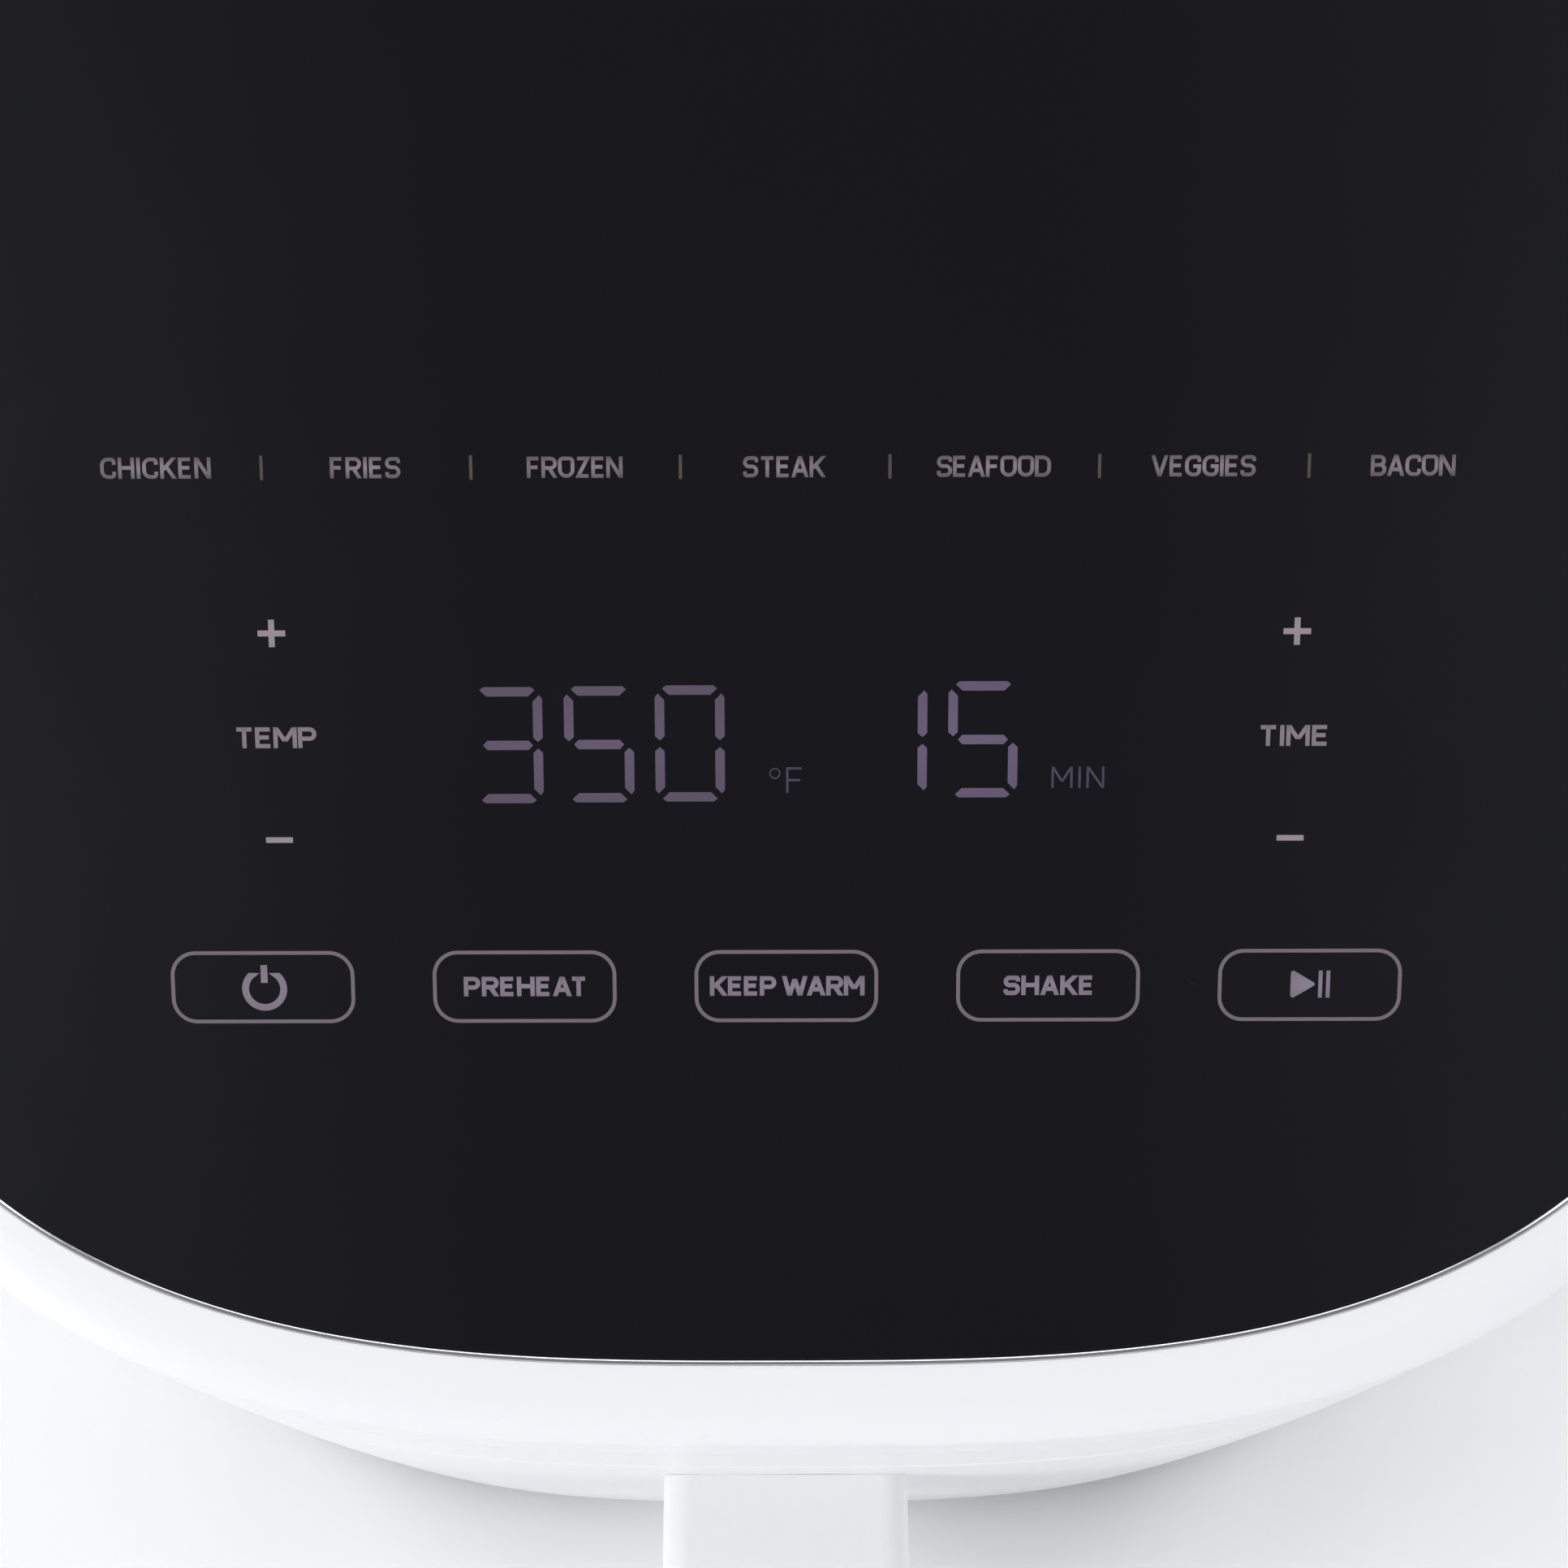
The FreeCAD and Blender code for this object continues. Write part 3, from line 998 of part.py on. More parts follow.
def main():
    os.makedirs("parts", exist_ok=True)
    loop = handle_loop()
    for name, shape in {
        "main_housing": main_housing(), "top_cover": top_cover(), "rear_grille": rear_grille(),
        "base_plate": base_plate(), "base_screws": base_screws(), "cord_gland": cord_gland(),
        "touch_glass": touch_glass(), "panel_rim": panel_rim(), "touch_pads": touch_pads(),
        "display_module": display_module(), "control_board": control_board(), "panel_carrier": panel_carrier(),
        "chamber": chamber(), "chamber_top": chamber_top(), "heat_shield": heat_shield(),
        "exhaust_duct": exhaust_duct(), "bay_frame": bay_frame(),
        "drawer_rail_left": drawer_rail(-1), "drawer_rail_right": drawer_rail(1),
        "heating_element": heating_element(), "element_bushings": element_bushings(),
        "element_guard": element_guard(), "temperature_sensor": temperature_sensor(),
        "thermal_cutout": thermal_cutout(), "drawer_switch": drawer_switch(),
        "switch_plunger": switch_plunger(), "motor_plate": motor_plate(),
        "lower_bearing_bridge": bearing_bridge(MOTOR_PLATE + 3.0, MOTOR_PLATE + 1.2, STATOR_LOW),
        "upper_bearing_bridge": bearing_bridge(STATOR_HIGH + 1.5, STATOR_HIGH, STATOR_HIGH + 2.5),
        "lower_bearing": bearing(MOTOR_PLATE + 3.0), "upper_bearing": bearing(STATOR_HIGH + 1.5),
        "motor_stator": motor_stator(), "motor_coil": motor_coil(), "motor_rotor": motor_rotor(),
        "fan_shaft": fan_shaft(), "fan_nut": fan_nut(), "impeller": impeller(), "cooling_fan": cooling_fan(),
        "power_board": power_board(), "power_components": power_components(),
        "power_board_screws": power_board_screws(), "mains_lead": mains_lead(),
        "element_lead_a": element_lead(0), "element_lead_b": element_lead(1),
        "drawer_front": drawer_front(), "drawer_bulkhead": drawer_bulkhead(), "basket_tub": basket_tub(),
        "tub_screws": tub_screws(), "tub_nuts": tub_nuts(), "handle_body": handle_body(loop),
        "handle_cover": handle_cover(loop), "handle_strip": handle_strip(), "handle_screws": handle_screws(),
        "crisper_plate": crisper_plate(), "crisper_bumpers": crisper_bumpers(),
    }.items():
        write(name, shape)
    corners = {"front_left": (-1, -1), "front_right": (1, -1), "rear_left": (-1, 1), "rear_right": (1, 1)}
    for place, (sx, sy) in corners.items():
        write("foot_" + place, foot(sx * FOOT_X, sy * FOOT_Y))


main()
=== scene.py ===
import json
import math

import bmesh
import bpy
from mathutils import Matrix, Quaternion, Vector


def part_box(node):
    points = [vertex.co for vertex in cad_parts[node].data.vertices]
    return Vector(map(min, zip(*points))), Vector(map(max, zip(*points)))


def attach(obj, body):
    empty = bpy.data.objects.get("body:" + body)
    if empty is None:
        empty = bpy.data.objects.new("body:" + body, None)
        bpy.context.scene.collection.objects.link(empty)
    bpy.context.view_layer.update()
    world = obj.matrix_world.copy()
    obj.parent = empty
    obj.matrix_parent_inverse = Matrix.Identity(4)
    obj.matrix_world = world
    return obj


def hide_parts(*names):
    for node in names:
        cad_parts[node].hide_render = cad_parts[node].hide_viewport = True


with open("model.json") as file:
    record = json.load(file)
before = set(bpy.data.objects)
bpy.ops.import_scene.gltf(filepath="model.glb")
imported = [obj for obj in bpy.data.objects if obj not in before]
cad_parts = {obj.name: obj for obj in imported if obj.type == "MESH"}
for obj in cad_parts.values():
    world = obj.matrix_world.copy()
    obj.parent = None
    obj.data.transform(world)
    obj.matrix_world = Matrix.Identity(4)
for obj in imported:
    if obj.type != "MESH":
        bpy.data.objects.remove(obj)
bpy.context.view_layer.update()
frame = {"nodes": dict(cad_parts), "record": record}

NODES = frame["nodes"]
MM = 0.001

# ---- the touch panel's own frame ----------------------------------------------------------------
SLOPE = math.radians(30.0)
UP_SLOPE = Vector((0.0, math.cos(SLOPE), math.sin(SLOPE)))
NORMAL = Vector((0.0, -math.sin(SLOPE), math.cos(SLOPE)))
GLASS_LOW, GLASS_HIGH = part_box("touch_glass")
GLASS_THICKNESS = 2.0 * MM
PANEL_CENTRE = (GLASS_LOW + GLASS_HIGH) / 2 + NORMAL * GLASS_THICKNESS / 2
PRINT_LOW, PRINT_HIGH = 0.004, 0.03      # height of a printed mark over the glass, in mm


def on_panel(x, s, h=0.0):
    """Point on the touch glass: x to the right, s up the slope from its centre, h above it, in mm."""
    return PANEL_CENTRE + (Vector((x, 0, 0)) + UP_SLOPE * s + NORMAL * h) * MM


# ---- node materials -----------------------------------------------------------------------------
COAT_ROUGHNESS = 0.1
SMOOTHEST = 0.02             # least roughness that a varied surface falls to
PALE_SKY = (0.88, 0.90, 1.0)


def shade(color, factor):
    """The colour made darker or lighter by a factor."""
    return tuple(min(1.0, c * factor) for c in color)


class Shader:
    """One Principled material, with short calls for the nodes that feed it."""

    def __init__(self, name, color, roughness, metallic=0.0, specular=0.5, coat=0.0):
        self.material = bpy.data.materials.new(name)
        self.material.use_nodes = True
        self.tree = self.material.node_tree
        self.principled = self.tree.nodes["Principled BSDF"]
        self.color, self.roughness = color, roughness
        uniform = {"Base Color": (*color, 1.0), "Roughness": roughness, "Metallic": metallic,
                   "Specular IOR Level": specular, "Coat Weight": coat, "Coat Roughness": COAT_ROUGHNESS}
        for socket, value in uniform.items():
            self.principled.inputs[socket].default_value = value
        self.place = self.node("ShaderNodeTexCoord").outputs["Object"]
        self.normal = None

    def node(self, kind, **settings):
        made = self.tree.nodes.new(kind)
        for key, value in settings.items():
            setattr(made, key, value)
        return made

    def link(self, output, target):
        self.tree.links.new(output, target)

    def stretched(self, x, y, z):
        """Object coordinates scaled along each axis, for grain that runs one way."""
        mapping = self.node("ShaderNodeMapping")
        mapping.inputs["Scale"].default_value = (x, y, z)
        self.link(self.place, mapping.inputs["Vector"])
        return mapping.outputs["Vector"]

    def noise(self, scale, detail=2.0, roughness=0.5, place=None):
        made = self.node("ShaderNodeTexNoise")
        made.inputs["Scale"].default_value = scale
        made.inputs["Detail"].default_value = detail
        made.inputs["Roughness"].default_value = roughness
        self.link(place or self.place, made.inputs["Vector"])
        return made.outputs["Fac"]

    def cells(self, scale, feature="F1", output="Distance"):
        made = self.node("ShaderNodeTexVoronoi", feature=feature)
        made.inputs["Scale"].default_value = scale
        self.link(self.place, made.inputs["Vector"])
        return made.outputs[output]

    def bands(self, scale, distortion=0.0):
        """Stripes across Z."""
        made = self.node("ShaderNodeTexWave", bands_direction="Z")
        made.inputs["Scale"].default_value = scale
        made.inputs["Distortion"].default_value = distortion
        self.link(self.place, made.inputs["Vector"])
        return made.outputs["Fac"]

    def ramp(self, value, low, high, out_low=0.0, out_high=1.0):
        """Maps low..high to out_low..out_high, and holds the end values outside."""
        made = self.node("ShaderNodeMapRange")
        made.inputs["From Min"].default_value = low
        made.inputs["From Max"].default_value = high
        made.inputs["To Min"].default_value = out_low
        made.inputs["To Max"].default_value = out_high
        self.link(value, made.inputs["Value"])
        return made.outputs["Result"]

    def mix(self, factor, first, second):
        """Colour between first and second, each an RGB tuple or an output."""
        made = self.node("ShaderNodeMix", data_type="RGBA")
        for socket, value in ((made.inputs[6], first), (made.inputs[7], second)):
            if isinstance(value, tuple):
                socket.default_value = (*value, 1.0)
            else:
                self.link(value, socket)
        self.link(factor, made.inputs[0])
        return made.outputs[2]

    def product(self, first, second):
        made = self.node("ShaderNodeMath", operation="MULTIPLY", use_clamp=True)
        self.link(first, made.inputs[0])
        self.link(second, made.inputs[1])
        return made.outputs[0]

    def paint(self, output):
        self.link(output, self.principled.inputs["Base Color"])

    def vary_color(self, factor, amount):
        """Base colour darkened and lightened by amount as factor goes from 0 to 1."""
        self.paint(self.mix(factor, shade(self.color, 1 - amount), shade(self.color, 1 + amount)))

    def vary_roughness(self, factor, amount):
        low, high = max(SMOOTHEST, self.roughness - amount), min(1.0, self.roughness + amount)
        self.link(self.ramp(factor, 0.25, 0.75, low, high), self.principled.inputs["Roughness"])

    def bump(self, height, depth, strength=1.0):
        """Adds relief: depth is the height of the full range, in mm."""
        made = self.node("ShaderNodeBump")
        made.inputs["Strength"].default_value = strength
        made.inputs["Distance"].default_value = depth * MM
        self.link(height, made.inputs["Height"])
        if self.normal:
            self.link(self.normal, made.inputs["Normal"])
        self.normal = made.outputs["Normal"]
        self.link(self.normal, self.principled.inputs["Normal"])


def moulded(name, color, roughness, grain=0.5, depth=0.012):
    """Moulded plastic: faint flow mottling, uneven gloss and a fine spark-eroded grain of `grain` mm."""
    s = Shader(name, color, roughness)
    s.vary_color(s.noise(14.0, detail=4.0), amount=0.035)
    s.vary_roughness(s.noise(90.0, detail=3.0), amount=0.05)
    s.bump(s.noise(1000.0 / grain, detail=2.0, roughness=0.6), depth=depth, strength=0.5)
    s.bump(s.noise(22.0, detail=2.0), depth=0.05, strength=0.25)
    return s


def sheet_metal(name, color, roughness, along, spangle=0.0, stain=0.0, stain_color=(0.3, 0.2, 0.1)):
    """Sheet metal with a rolling grain. along scales the grain per axis; spangle adds zinc crystals."""
    s = Shader(name, color, roughness, metallic=1.0)
    grain = s.noise(60.0, detail=6.0, roughness=0.7, place=s.stretched(*along))
    base = s.mix(s.ramp(grain, 0.3, 0.7), shade(color, 0.88), shade(color, 1.06))
    if spangle:
        crystal = s.cells(spangle, output="Color")
        split = s.node("ShaderNodeSeparateColor")
        s.link(crystal, split.inputs[0])
        base = s.mix(s.ramp(split.outputs[0], 0.0, 1.0, 0.0, 0.22), base, (0.36, 0.38, 0.40))
    if stain:
        blotch = s.ramp(s.noise(34.0, detail=5.0, roughness=0.6), 0.42, 0.75, 0.0, stain)
        base = s.mix(blotch, base, stain_color)
    s.paint(base)
    s.vary_roughness(grain, amount=0.09)
    s.bump(grain, depth=0.02, strength=0.35)
    return s


def rubbery(name, color, roughness, depth=0.05, scale=1400.0):
    """Soft or unglazed matte surface with an irregular grain."""
    s = Shader(name, color, roughness, specular=0.35)
    s.vary_color(s.noise(60.0, detail=5.0), amount=0.18)
    s.vary_roughness(s.noise(180.0), amount=0.06)
    s.bump(s.noise(scale, detail=3.0, roughness=0.65), depth=depth, strength=0.6)
    return s


def white_plastic(name, roughness=0.33, grain=0.0):
    """Satin white moulding. A grained face has a fine texture of `grain` mm instead of a smooth one."""
    s = Shader(name, (0.83, 0.83, 0.84), roughness, coat=0.0 if grain else 0.2)
    s.paint(s.mix(s.noise(7.0, detail=3.0), (0.812, 0.816, 0.832), (0.848, 0.846, 0.848)))
    s.vary_roughness(s.noise(70.0, detail=4.0), amount=0.045)
    s.bump(s.noise(16.0, detail=2.0), depth=0.06, strength=0.2)
    if grain:
        s.bump(s.cells(1000.0 / grain, "SMOOTH_F1"), depth=0.03, strength=0.55)
    else:
        s.bump(s.noise(2600.0, detail=2.0), depth=0.004, strength=0.35)
    return s


def touch_glass_material():
    """Black-backed glass with a satin, fingerprint-hiding face and a few specks of dust, its base colour
    paler towards the left and right sides as a painted reflection.
    """
    s = Shader("touch_glass_satin", (0.0038, 0.0034, 0.0055), 0.17, specular=0.42)
    drift = s.noise(9.0, detail=3.0)
    middle = s.mix(drift, (0.0030, 0.0028, 0.0040), (0.0040, 0.0034, 0.0060))
    split = s.node("ShaderNodeSeparateXYZ")
    s.link(s.place, split.inputs[0])
    aside = s.node("ShaderNodeMath", operation="ABSOLUTE")
    s.link(split.outputs["X"], aside.inputs[0])
    painted_reflection_from, painted_reflection_full_at = 0.035, 0.124          # distances from the middle line, in metres, over which the painted reflection at the sides grows to full
    # painted reflection: the base colour grows paler towards the left and right sides of the glass
    base = s.mix(s.ramp(aside.outputs[0], painted_reflection_from, painted_reflection_full_at), middle, (0.0074, 0.0077, 0.0104))
    dust = s.ramp(s.cells(120.0), 0.0, 0.018, 1.0, 0.0)
    some = s.ramp(s.noise(31.0, detail=1.0), 0.60, 0.61)
    s.paint(s.mix(s.product(dust, some), base, (0.05, 0.05, 0.055)))
    s.vary_roughness(s.noise(26.0, detail=5.0, roughness=0.6), amount=0.025)
    s.bump(s.noise(3800.0, detail=2.0, roughness=0.6), depth=0.002, strength=0.4)
    return s


def coated_steel(name, base=(0.022, 0.022, 0.024)):
    """Non-stick coating: dark film with fine pale flecks and a slight orange-peel surface."""
    s = Shader(name, base, 0.42, specular=0.45)
    fleck = s.ramp(s.cells(620.0), 0.10, 0.16, 1.0, 0.0)
    some = s.ramp(s.noise(420.0, detail=2.0), 0.56, 0.60)
    film = s.mix(s.noise(24.0, detail=4.0), shade(base, 0.8), shade(base, 1.35))
    s.paint(s.mix(s.product(fleck, some), film, (0.20, 0.20, 0.21)))
    s.vary_roughness(s.noise(80.0, detail=4.0), amount=0.07)
    s.bump(s.noise(420.0, detail=3.0, roughness=0.6), depth=0.03, strength=0.5)
    return s


def element_sheath():
    """Heat-darkened sheath with straw and blue tempering colours."""
    s = Shader("element_sheath_tempered", (0.20, 0.18, 0.17), 0.38, metallic=1.0)
    heat = s.noise(26.0, detail=3.0)
    warm = s.mix(s.ramp(heat, 0.35, 0.55), (0.13, 0.12, 0.13), (0.30, 0.23, 0.16))
    s.paint(s.mix(s.ramp(heat, 0.58, 0.72), warm, (0.16, 0.17, 0.24)))
    s.vary_roughness(s.noise(240.0, detail=3.0), amount=0.1)
    s.bump(s.noise(900.0, detail=3.0), depth=0.02, strength=0.4)
    return s


def laminated():
    """Edges of stacked sheets along Z."""
    s = Shader("laminated_core", (0.24, 0.24, 0.26), 0.42, metallic=1.0)
    sheets = s.bands(320.0)
    s.paint(s.mix(sheets, (0.10, 0.10, 0.11), (0.33, 0.33, 0.35)))
    s.vary_roughness(s.noise(140.0), amount=0.08)
    s.bump(sheets, depth=0.06, strength=0.6)
    return s


def wound_copper():
    """Enamelled winding wire under a clear varnish."""
    s = Shader("wound_copper", (0.46, 0.16, 0.06), 0.30, metallic=1.0, coat=0.6)
    turns = s.bands(420.0, distortion=0.6)
    s.paint(s.mix(turns, (0.20, 0.06, 0.025), (0.58, 0.23, 0.09)))
    s.vary_roughness(s.noise(120.0), amount=0.06)
    s.bump(turns, depth=0.15, strength=0.8)
    return s


def circuit_board():
    """Solder mask over copper tracks."""
    s = Shader("circuit_board_mask", (0.02, 0.13, 0.06), 0.36, coat=0.25)
    tracks = s.node("ShaderNodeTexBrick")
    for socket, value in (("Scale", 150.0), ("Mortar Size", 0.06), ("Color1", (0, 0, 0, 1)),
                          ("Color2", (0.35, 0.35, 0.35, 1)), ("Mortar", (1, 1, 1, 1))):
        tracks.inputs[socket].default_value = value
    turned = s.node("ShaderNodeMapping")
    turned.inputs["Rotation"].default_value = (math.radians(90.0), 0.0, 0.0)
    s.link(s.place, turned.inputs["Vector"])
    s.link(turned.outputs["Vector"], tracks.inputs["Vector"])
    s.paint(s.mix(tracks.outputs["Color"], (0.012, 0.10, 0.045), (0.035, 0.22, 0.10)))
    s.vary_roughness(s.noise(200.0), amount=0.05)
    s.bump(tracks.outputs["Color"], depth=0.04, strength=0.4)
    return s


def braided(name, color):
    """Braided sleeve over a lead."""
    s = Shader(name, color, 0.85, specular=0.2)
    weave = s.cells(900.0, "SMOOTH_F1")
    s.paint(s.mix(s.ramp(weave, 0.1, 0.6), shade(color, 0.6), color))
    s.vary_roughness(s.noise(300.0), amount=0.05)
    s.bump(weave, depth=0.2, strength=0.8)
    return s


def metal_rim():
    """Drawn and polished bead round the glass."""
    s = Shader("rim_satin_chrome", (0.88, 0.88, 0.89), 0.20, metallic=1.0)
    streak = s.noise(30.0, detail=5.0, roughness=0.65, place=s.stretched(1.0, 1.0, 14.0))
    s.vary_color(streak, amount=0.05)
    s.vary_roughness(streak, amount=0.05)
    s.bump(s.noise(1500.0, detail=2.0), depth=0.004, strength=0.4)
    return s


def brushed(name, color, roughness, along):
    """Brushed or ground metal. along scales the strokes per axis; they run where it is lowest."""
    s = Shader(name, color, roughness, metallic=1.0)
    strokes = s.noise(1.0, detail=5.0, roughness=0.75, place=s.stretched(*along))
    s.paint(s.mix(s.ramp(strokes, 0.3, 0.7), shade(color, 0.82), shade(color, 1.08)))
    s.vary_roughness(strokes, amount=0.10)
    s.bump(strokes, depth=0.03, strength=0.5)
    return s


def printed(name, dim, bright, texture=0.25):
    """Printed mark that glows by emission, a painted glow in place of its lit colour: brighter in the
    middle of its own box, with a fine diffuser mottle.
    """
    s = Shader(name, shade(dim, 0.4), 0.5, specular=0.2)
    own = s.node("ShaderNodeTexCoord").outputs["Generated"]
    centre = s.node("ShaderNodeVectorMath", operation="DISTANCE")
    s.link(own, centre.inputs[0])
    centre.inputs[1].default_value = (0.5, 0.5, 0.5)
    # painted glow: the mark emits its own colour, brightest in the middle of its box, though it is no lamp
    glow = s.ramp(centre.outputs["Value"], 0.15, 0.75, 1.0, 0.0)
    mottle = s.ramp(s.noise(5200.0, detail=2.0), 0.3, 0.7, 1.0 - texture, 1.0)
    s.link(s.mix(s.product(glow, mottle), dim, bright), s.principled.inputs["Emission Color"])
    s.principled.inputs["Emission Strength"].default_value = 1.0
    return s


def srgb(r, g, b):
    """8-bit sRGB to the linear values that nodes take."""
    def linear(c):
        c /= 255.0
        return c / 12.92 if c <= 0.04045 else ((c + 0.055) / 1.055) ** 2.4
    return (linear(r), linear(g), linear(b))


SLOT_SHADERS = {
    "white_shell": white_plastic("white_shell_satin"),
    "white_front": white_plastic("white_front_satin"),
    "white_vent": white_plastic("white_vent_satin", 0.40),
    "white_handle": white_plastic("white_handle_grained", 0.42, grain=0.45),
    "grey_base": moulded("grey_base_grained", (0.11, 0.115, 0.12), 0.6, 0.6, 0.05),
    "screw_steel": sheet_metal("screw_zinc", (0.52, 0.52, 0.50), 0.34, (8, 8, 8)),
    "black_gland": moulded("gland_nylon", (0.018, 0.018, 0.019), 0.5, 0.5, 0.03),
    "black_glass": touch_glass_material(),
    "bright_rim": metal_rim(),
    "pad_foam": rubbery("conductive_foam", (0.03, 0.03, 0.033), 0.9, 0.2, 900.0),
    "display": moulded("display_diffuser", (0.03, 0.03, 0.034), 0.5),
    "green_board": circuit_board(),
    "inner_plastic": moulded("inner_grey", (0.06, 0.063, 0.068), 0.5, 0.5, 0.03),
    "dark_plastic": moulded("heat_proof_dark", (0.020, 0.020, 0.022), 0.48, 0.55, 0.035),
    "chamber_steel": sheet_metal("chamber_aluminised", (0.56, 0.56, 0.55), 0.36, (1, 1, 6), stain=0.35,
                                 stain_color=(0.30, 0.24, 0.17)),
    "shield_steel": sheet_metal("shield_galvanised", (0.58, 0.59, 0.60), 0.38, (1, 1, 3), spangle=110.0),
    "element_sheath": element_sheath(),
    "ceramic": rubbery("ceramic_unglazed", (0.72, 0.69, 0.62), 0.7, 0.03, 1100.0),
    "guard_wire": sheet_metal("guard_nickel", (0.62, 0.61, 0.58), 0.24, (3, 3, 3), stain=0.3),
    "sensor_steel": brushed("sensor_steel", (0.60, 0.60, 0.60), 0.3, (900, 900, 60)),
    "red_plunger": moulded("plunger_red", (0.35, 0.02, 0.015), 0.4),
    "bearing_steel": brushed("bearing_ground", (0.62, 0.62, 0.63), 0.22, (120, 120, 1800)),
    "lamination": laminated(),
    "copper_coil": wound_copper(),
    "impeller_steel": brushed("impeller_stamped", (0.64, 0.64, 0.65), 0.3, (220, 220, 220)),
    "components": moulded("component_cases", (0.035, 0.04, 0.05), 0.45),
    "lead_sheath": rubbery("lead_sheath", (0.02, 0.02, 0.02), 0.55, 0.02),
    "glass_sleeve": braided("glass_sleeve", (0.72, 0.70, 0.62)),
    "coated_steel": coated_steel("basket_coating"),
    "coated_plate": coated_steel("plate_coating", (0.026, 0.026, 0.028)),
    "silicone": rubbery("silicone_matte", (0.022, 0.022, 0.023), 0.6, 0.02),
    "brushed_strip": brushed("strip_brushed", (0.50, 0.50, 0.52), 0.25, (2600, 200, 40)),
    "foot_rubber": rubbery("foot_rubber", (0.03, 0.03, 0.031), 0.8, 0.08),
}


def dress_cad_nodes():
    """Gives every CAD node the material of its slot."""
    slot_of = {entry["node"]: entry["material_slot"] for entry in frame["record"]["subparts"]}
    for name, obj in NODES.items():
        obj.data.materials.clear()
        obj.data.materials.append(SLOT_SHADERS[slot_of[name]].material)
        for polygon in obj.data.polygons:
            polygon.use_smooth = True


# ---- pieces of the panel ------------------------------------------------------------------------
def join_rings(bm, inner, outer):
    """Faces between two closed rings with equally many vertices."""
    for k in range(len(inner)):
        j = (k + 1) % len(inner)
        bm.faces.new((inner[k], outer[k], outer[j], inner[j]))


def panel_piece(name, shader, draw):
    """Makes one piece of the panel: draw fills its mesh. It rides on the housing."""
    bm = bmesh.new()
    draw(bm)
    bmesh.ops.recalc_face_normals(bm, faces=bm.faces)
    mesh = bpy.data.meshes.new(name)
    bm.to_mesh(mesh)
    bm.free()
    obj = bpy.data.objects.new(name, mesh)
    bpy.context.scene.collection.objects.link(obj)
    mesh.materials.append(shader.material)
    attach(obj, "housing")
    return obj


def panel_mark(name, shader, draw):
    """Makes one printed mark of the panel."""
    return panel_piece(name, shader, draw)


# ---- glass and rim ------------------------------------------------------------------------------
RIM_LOW, RIM_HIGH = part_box("panel_rim")
PANEL_HALF_X = (RIM_HIGH.x - RIM_LOW.x) / 2 / MM
PANEL_HALF_S = 112.0
OUTLINE_POWER = 3.0          # exponent of the superellipse that the panel follows
OUTLINE_STEPS = 480
SEAT_DEPTH = 1.9             # how far glass and rim go down into their rebate, in mm
LIP_HEIGHT = 0.01            # how far the deck's smooth edge stands over its coarser mesh, in mm
# Profiles as (inset from the panel's outline, height over the glass) in mm.
BEAD = [(0.06, -SEAT_DEPTH), (0.06, 0.17), (0.08, 0.24), (0.12, 0.285), (0.18, 0.30), (0.36, 0.30),
        (0.41, 0.285), (0.45, 0.25), (0.61, 0.06), (0.63, 0.0), (0.64, -0.10), (0.64, -SEAT_DEPTH)]
GLASS = [(0.69, -SEAT_DEPTH), (0.69, -0.16), (0.74, -0.04), (0.85, 0.0), (0.90, 0.0)]
DECK_EDGE = [(-0.10, -0.30), (-0.10, LIP_HEIGHT), (-0.50, LIP_HEIGHT), (-0.50, -0.30)]


def outline_point(turn, inset):
    """Point (x, s) of the panel's outline, moved inwards by inset."""
    half_x, half_s = PANEL_HALF_X - inset, PANEL_HALF_S - inset
    c, n = math.cos(turn), math.sin(turn)
    level = abs(c / half_x) ** OUTLINE_POWER + abs(n / half_s) ** OUTLINE_POWER
    reach = level ** (-1 / OUTLINE_POWER)
    return reach * c, reach * n


def outline_rings(bm, profile, closed=False):
    """Makes a ring of vertices round the panel for each point of the profile, and joins them."""
    rings = []
    for inset, height in profile:
        points = [outline_point(2 * math.pi * k / OUTLINE_STEPS, inset) for k in range(OUTLINE_STEPS)]
        rings.append([bm.verts.new(on_panel(x, s, height)) for x, s in points])
    for ring, following in zip(rings, rings[1:] + rings[:1] if closed else rings[1:]):
        join_rings(bm, ring, following)
    return rings


def smooth_within(obj, degrees):
    """Smooth shading across edges that turn by less than the given angle."""
    mesh = obj.data
    for polygon in mesh.polygons:
        polygon.use_smooth = True
    mesh.set_sharp_from_angle(angle=math.radians(degrees))


def make_rim():
    """Polished bead with a sloped inner side, and the deck's edge across a narrow dark gap."""
    rim = panel_piece("rim_bead", SLOT_SHADERS["bright_rim"],
                      lambda bm: outline_rings(bm, BEAD, closed=True))
    smooth_within(rim, 40.0)
    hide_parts("panel_rim")
    panel_piece("deck_edge", SLOT_SHADERS["white_shell"],
                lambda bm: outline_rings(bm, DECK_EDGE, closed=True))


def make_glass():
    """Touch glass with a fine ground edge."""
    def draw(bm):
        rings = outline_rings(bm, GLASS)
        bm.faces.new(list(reversed(rings[0])))
        bm.faces.new(rings[-1])
    glass = panel_piece("glass_sheet", SLOT_SHADERS["black_glass"], draw)
    smooth_within(glass, 35.0)
    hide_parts("touch_glass")


# ---- printed marks ------------------------------------------------------------------------------
def flat_solid(bm, outline):
    """Thin closed solid over a closed outline of panel points (x, s)."""
    low = [bm.verts.new(on_panel(x, s, PRINT_LOW)) for x, s in outline]
    high = [bm.verts.new(on_panel(x, s, PRINT_HIGH)) for x, s in outline]
    bm.faces.new(high)
    bm.faces.new(list(reversed(low)))
    for i in range(len(outline)):
        j = (i + 1) % len(outline)
        bm.faces.new((low[i], low[j], high[j], high[i]))


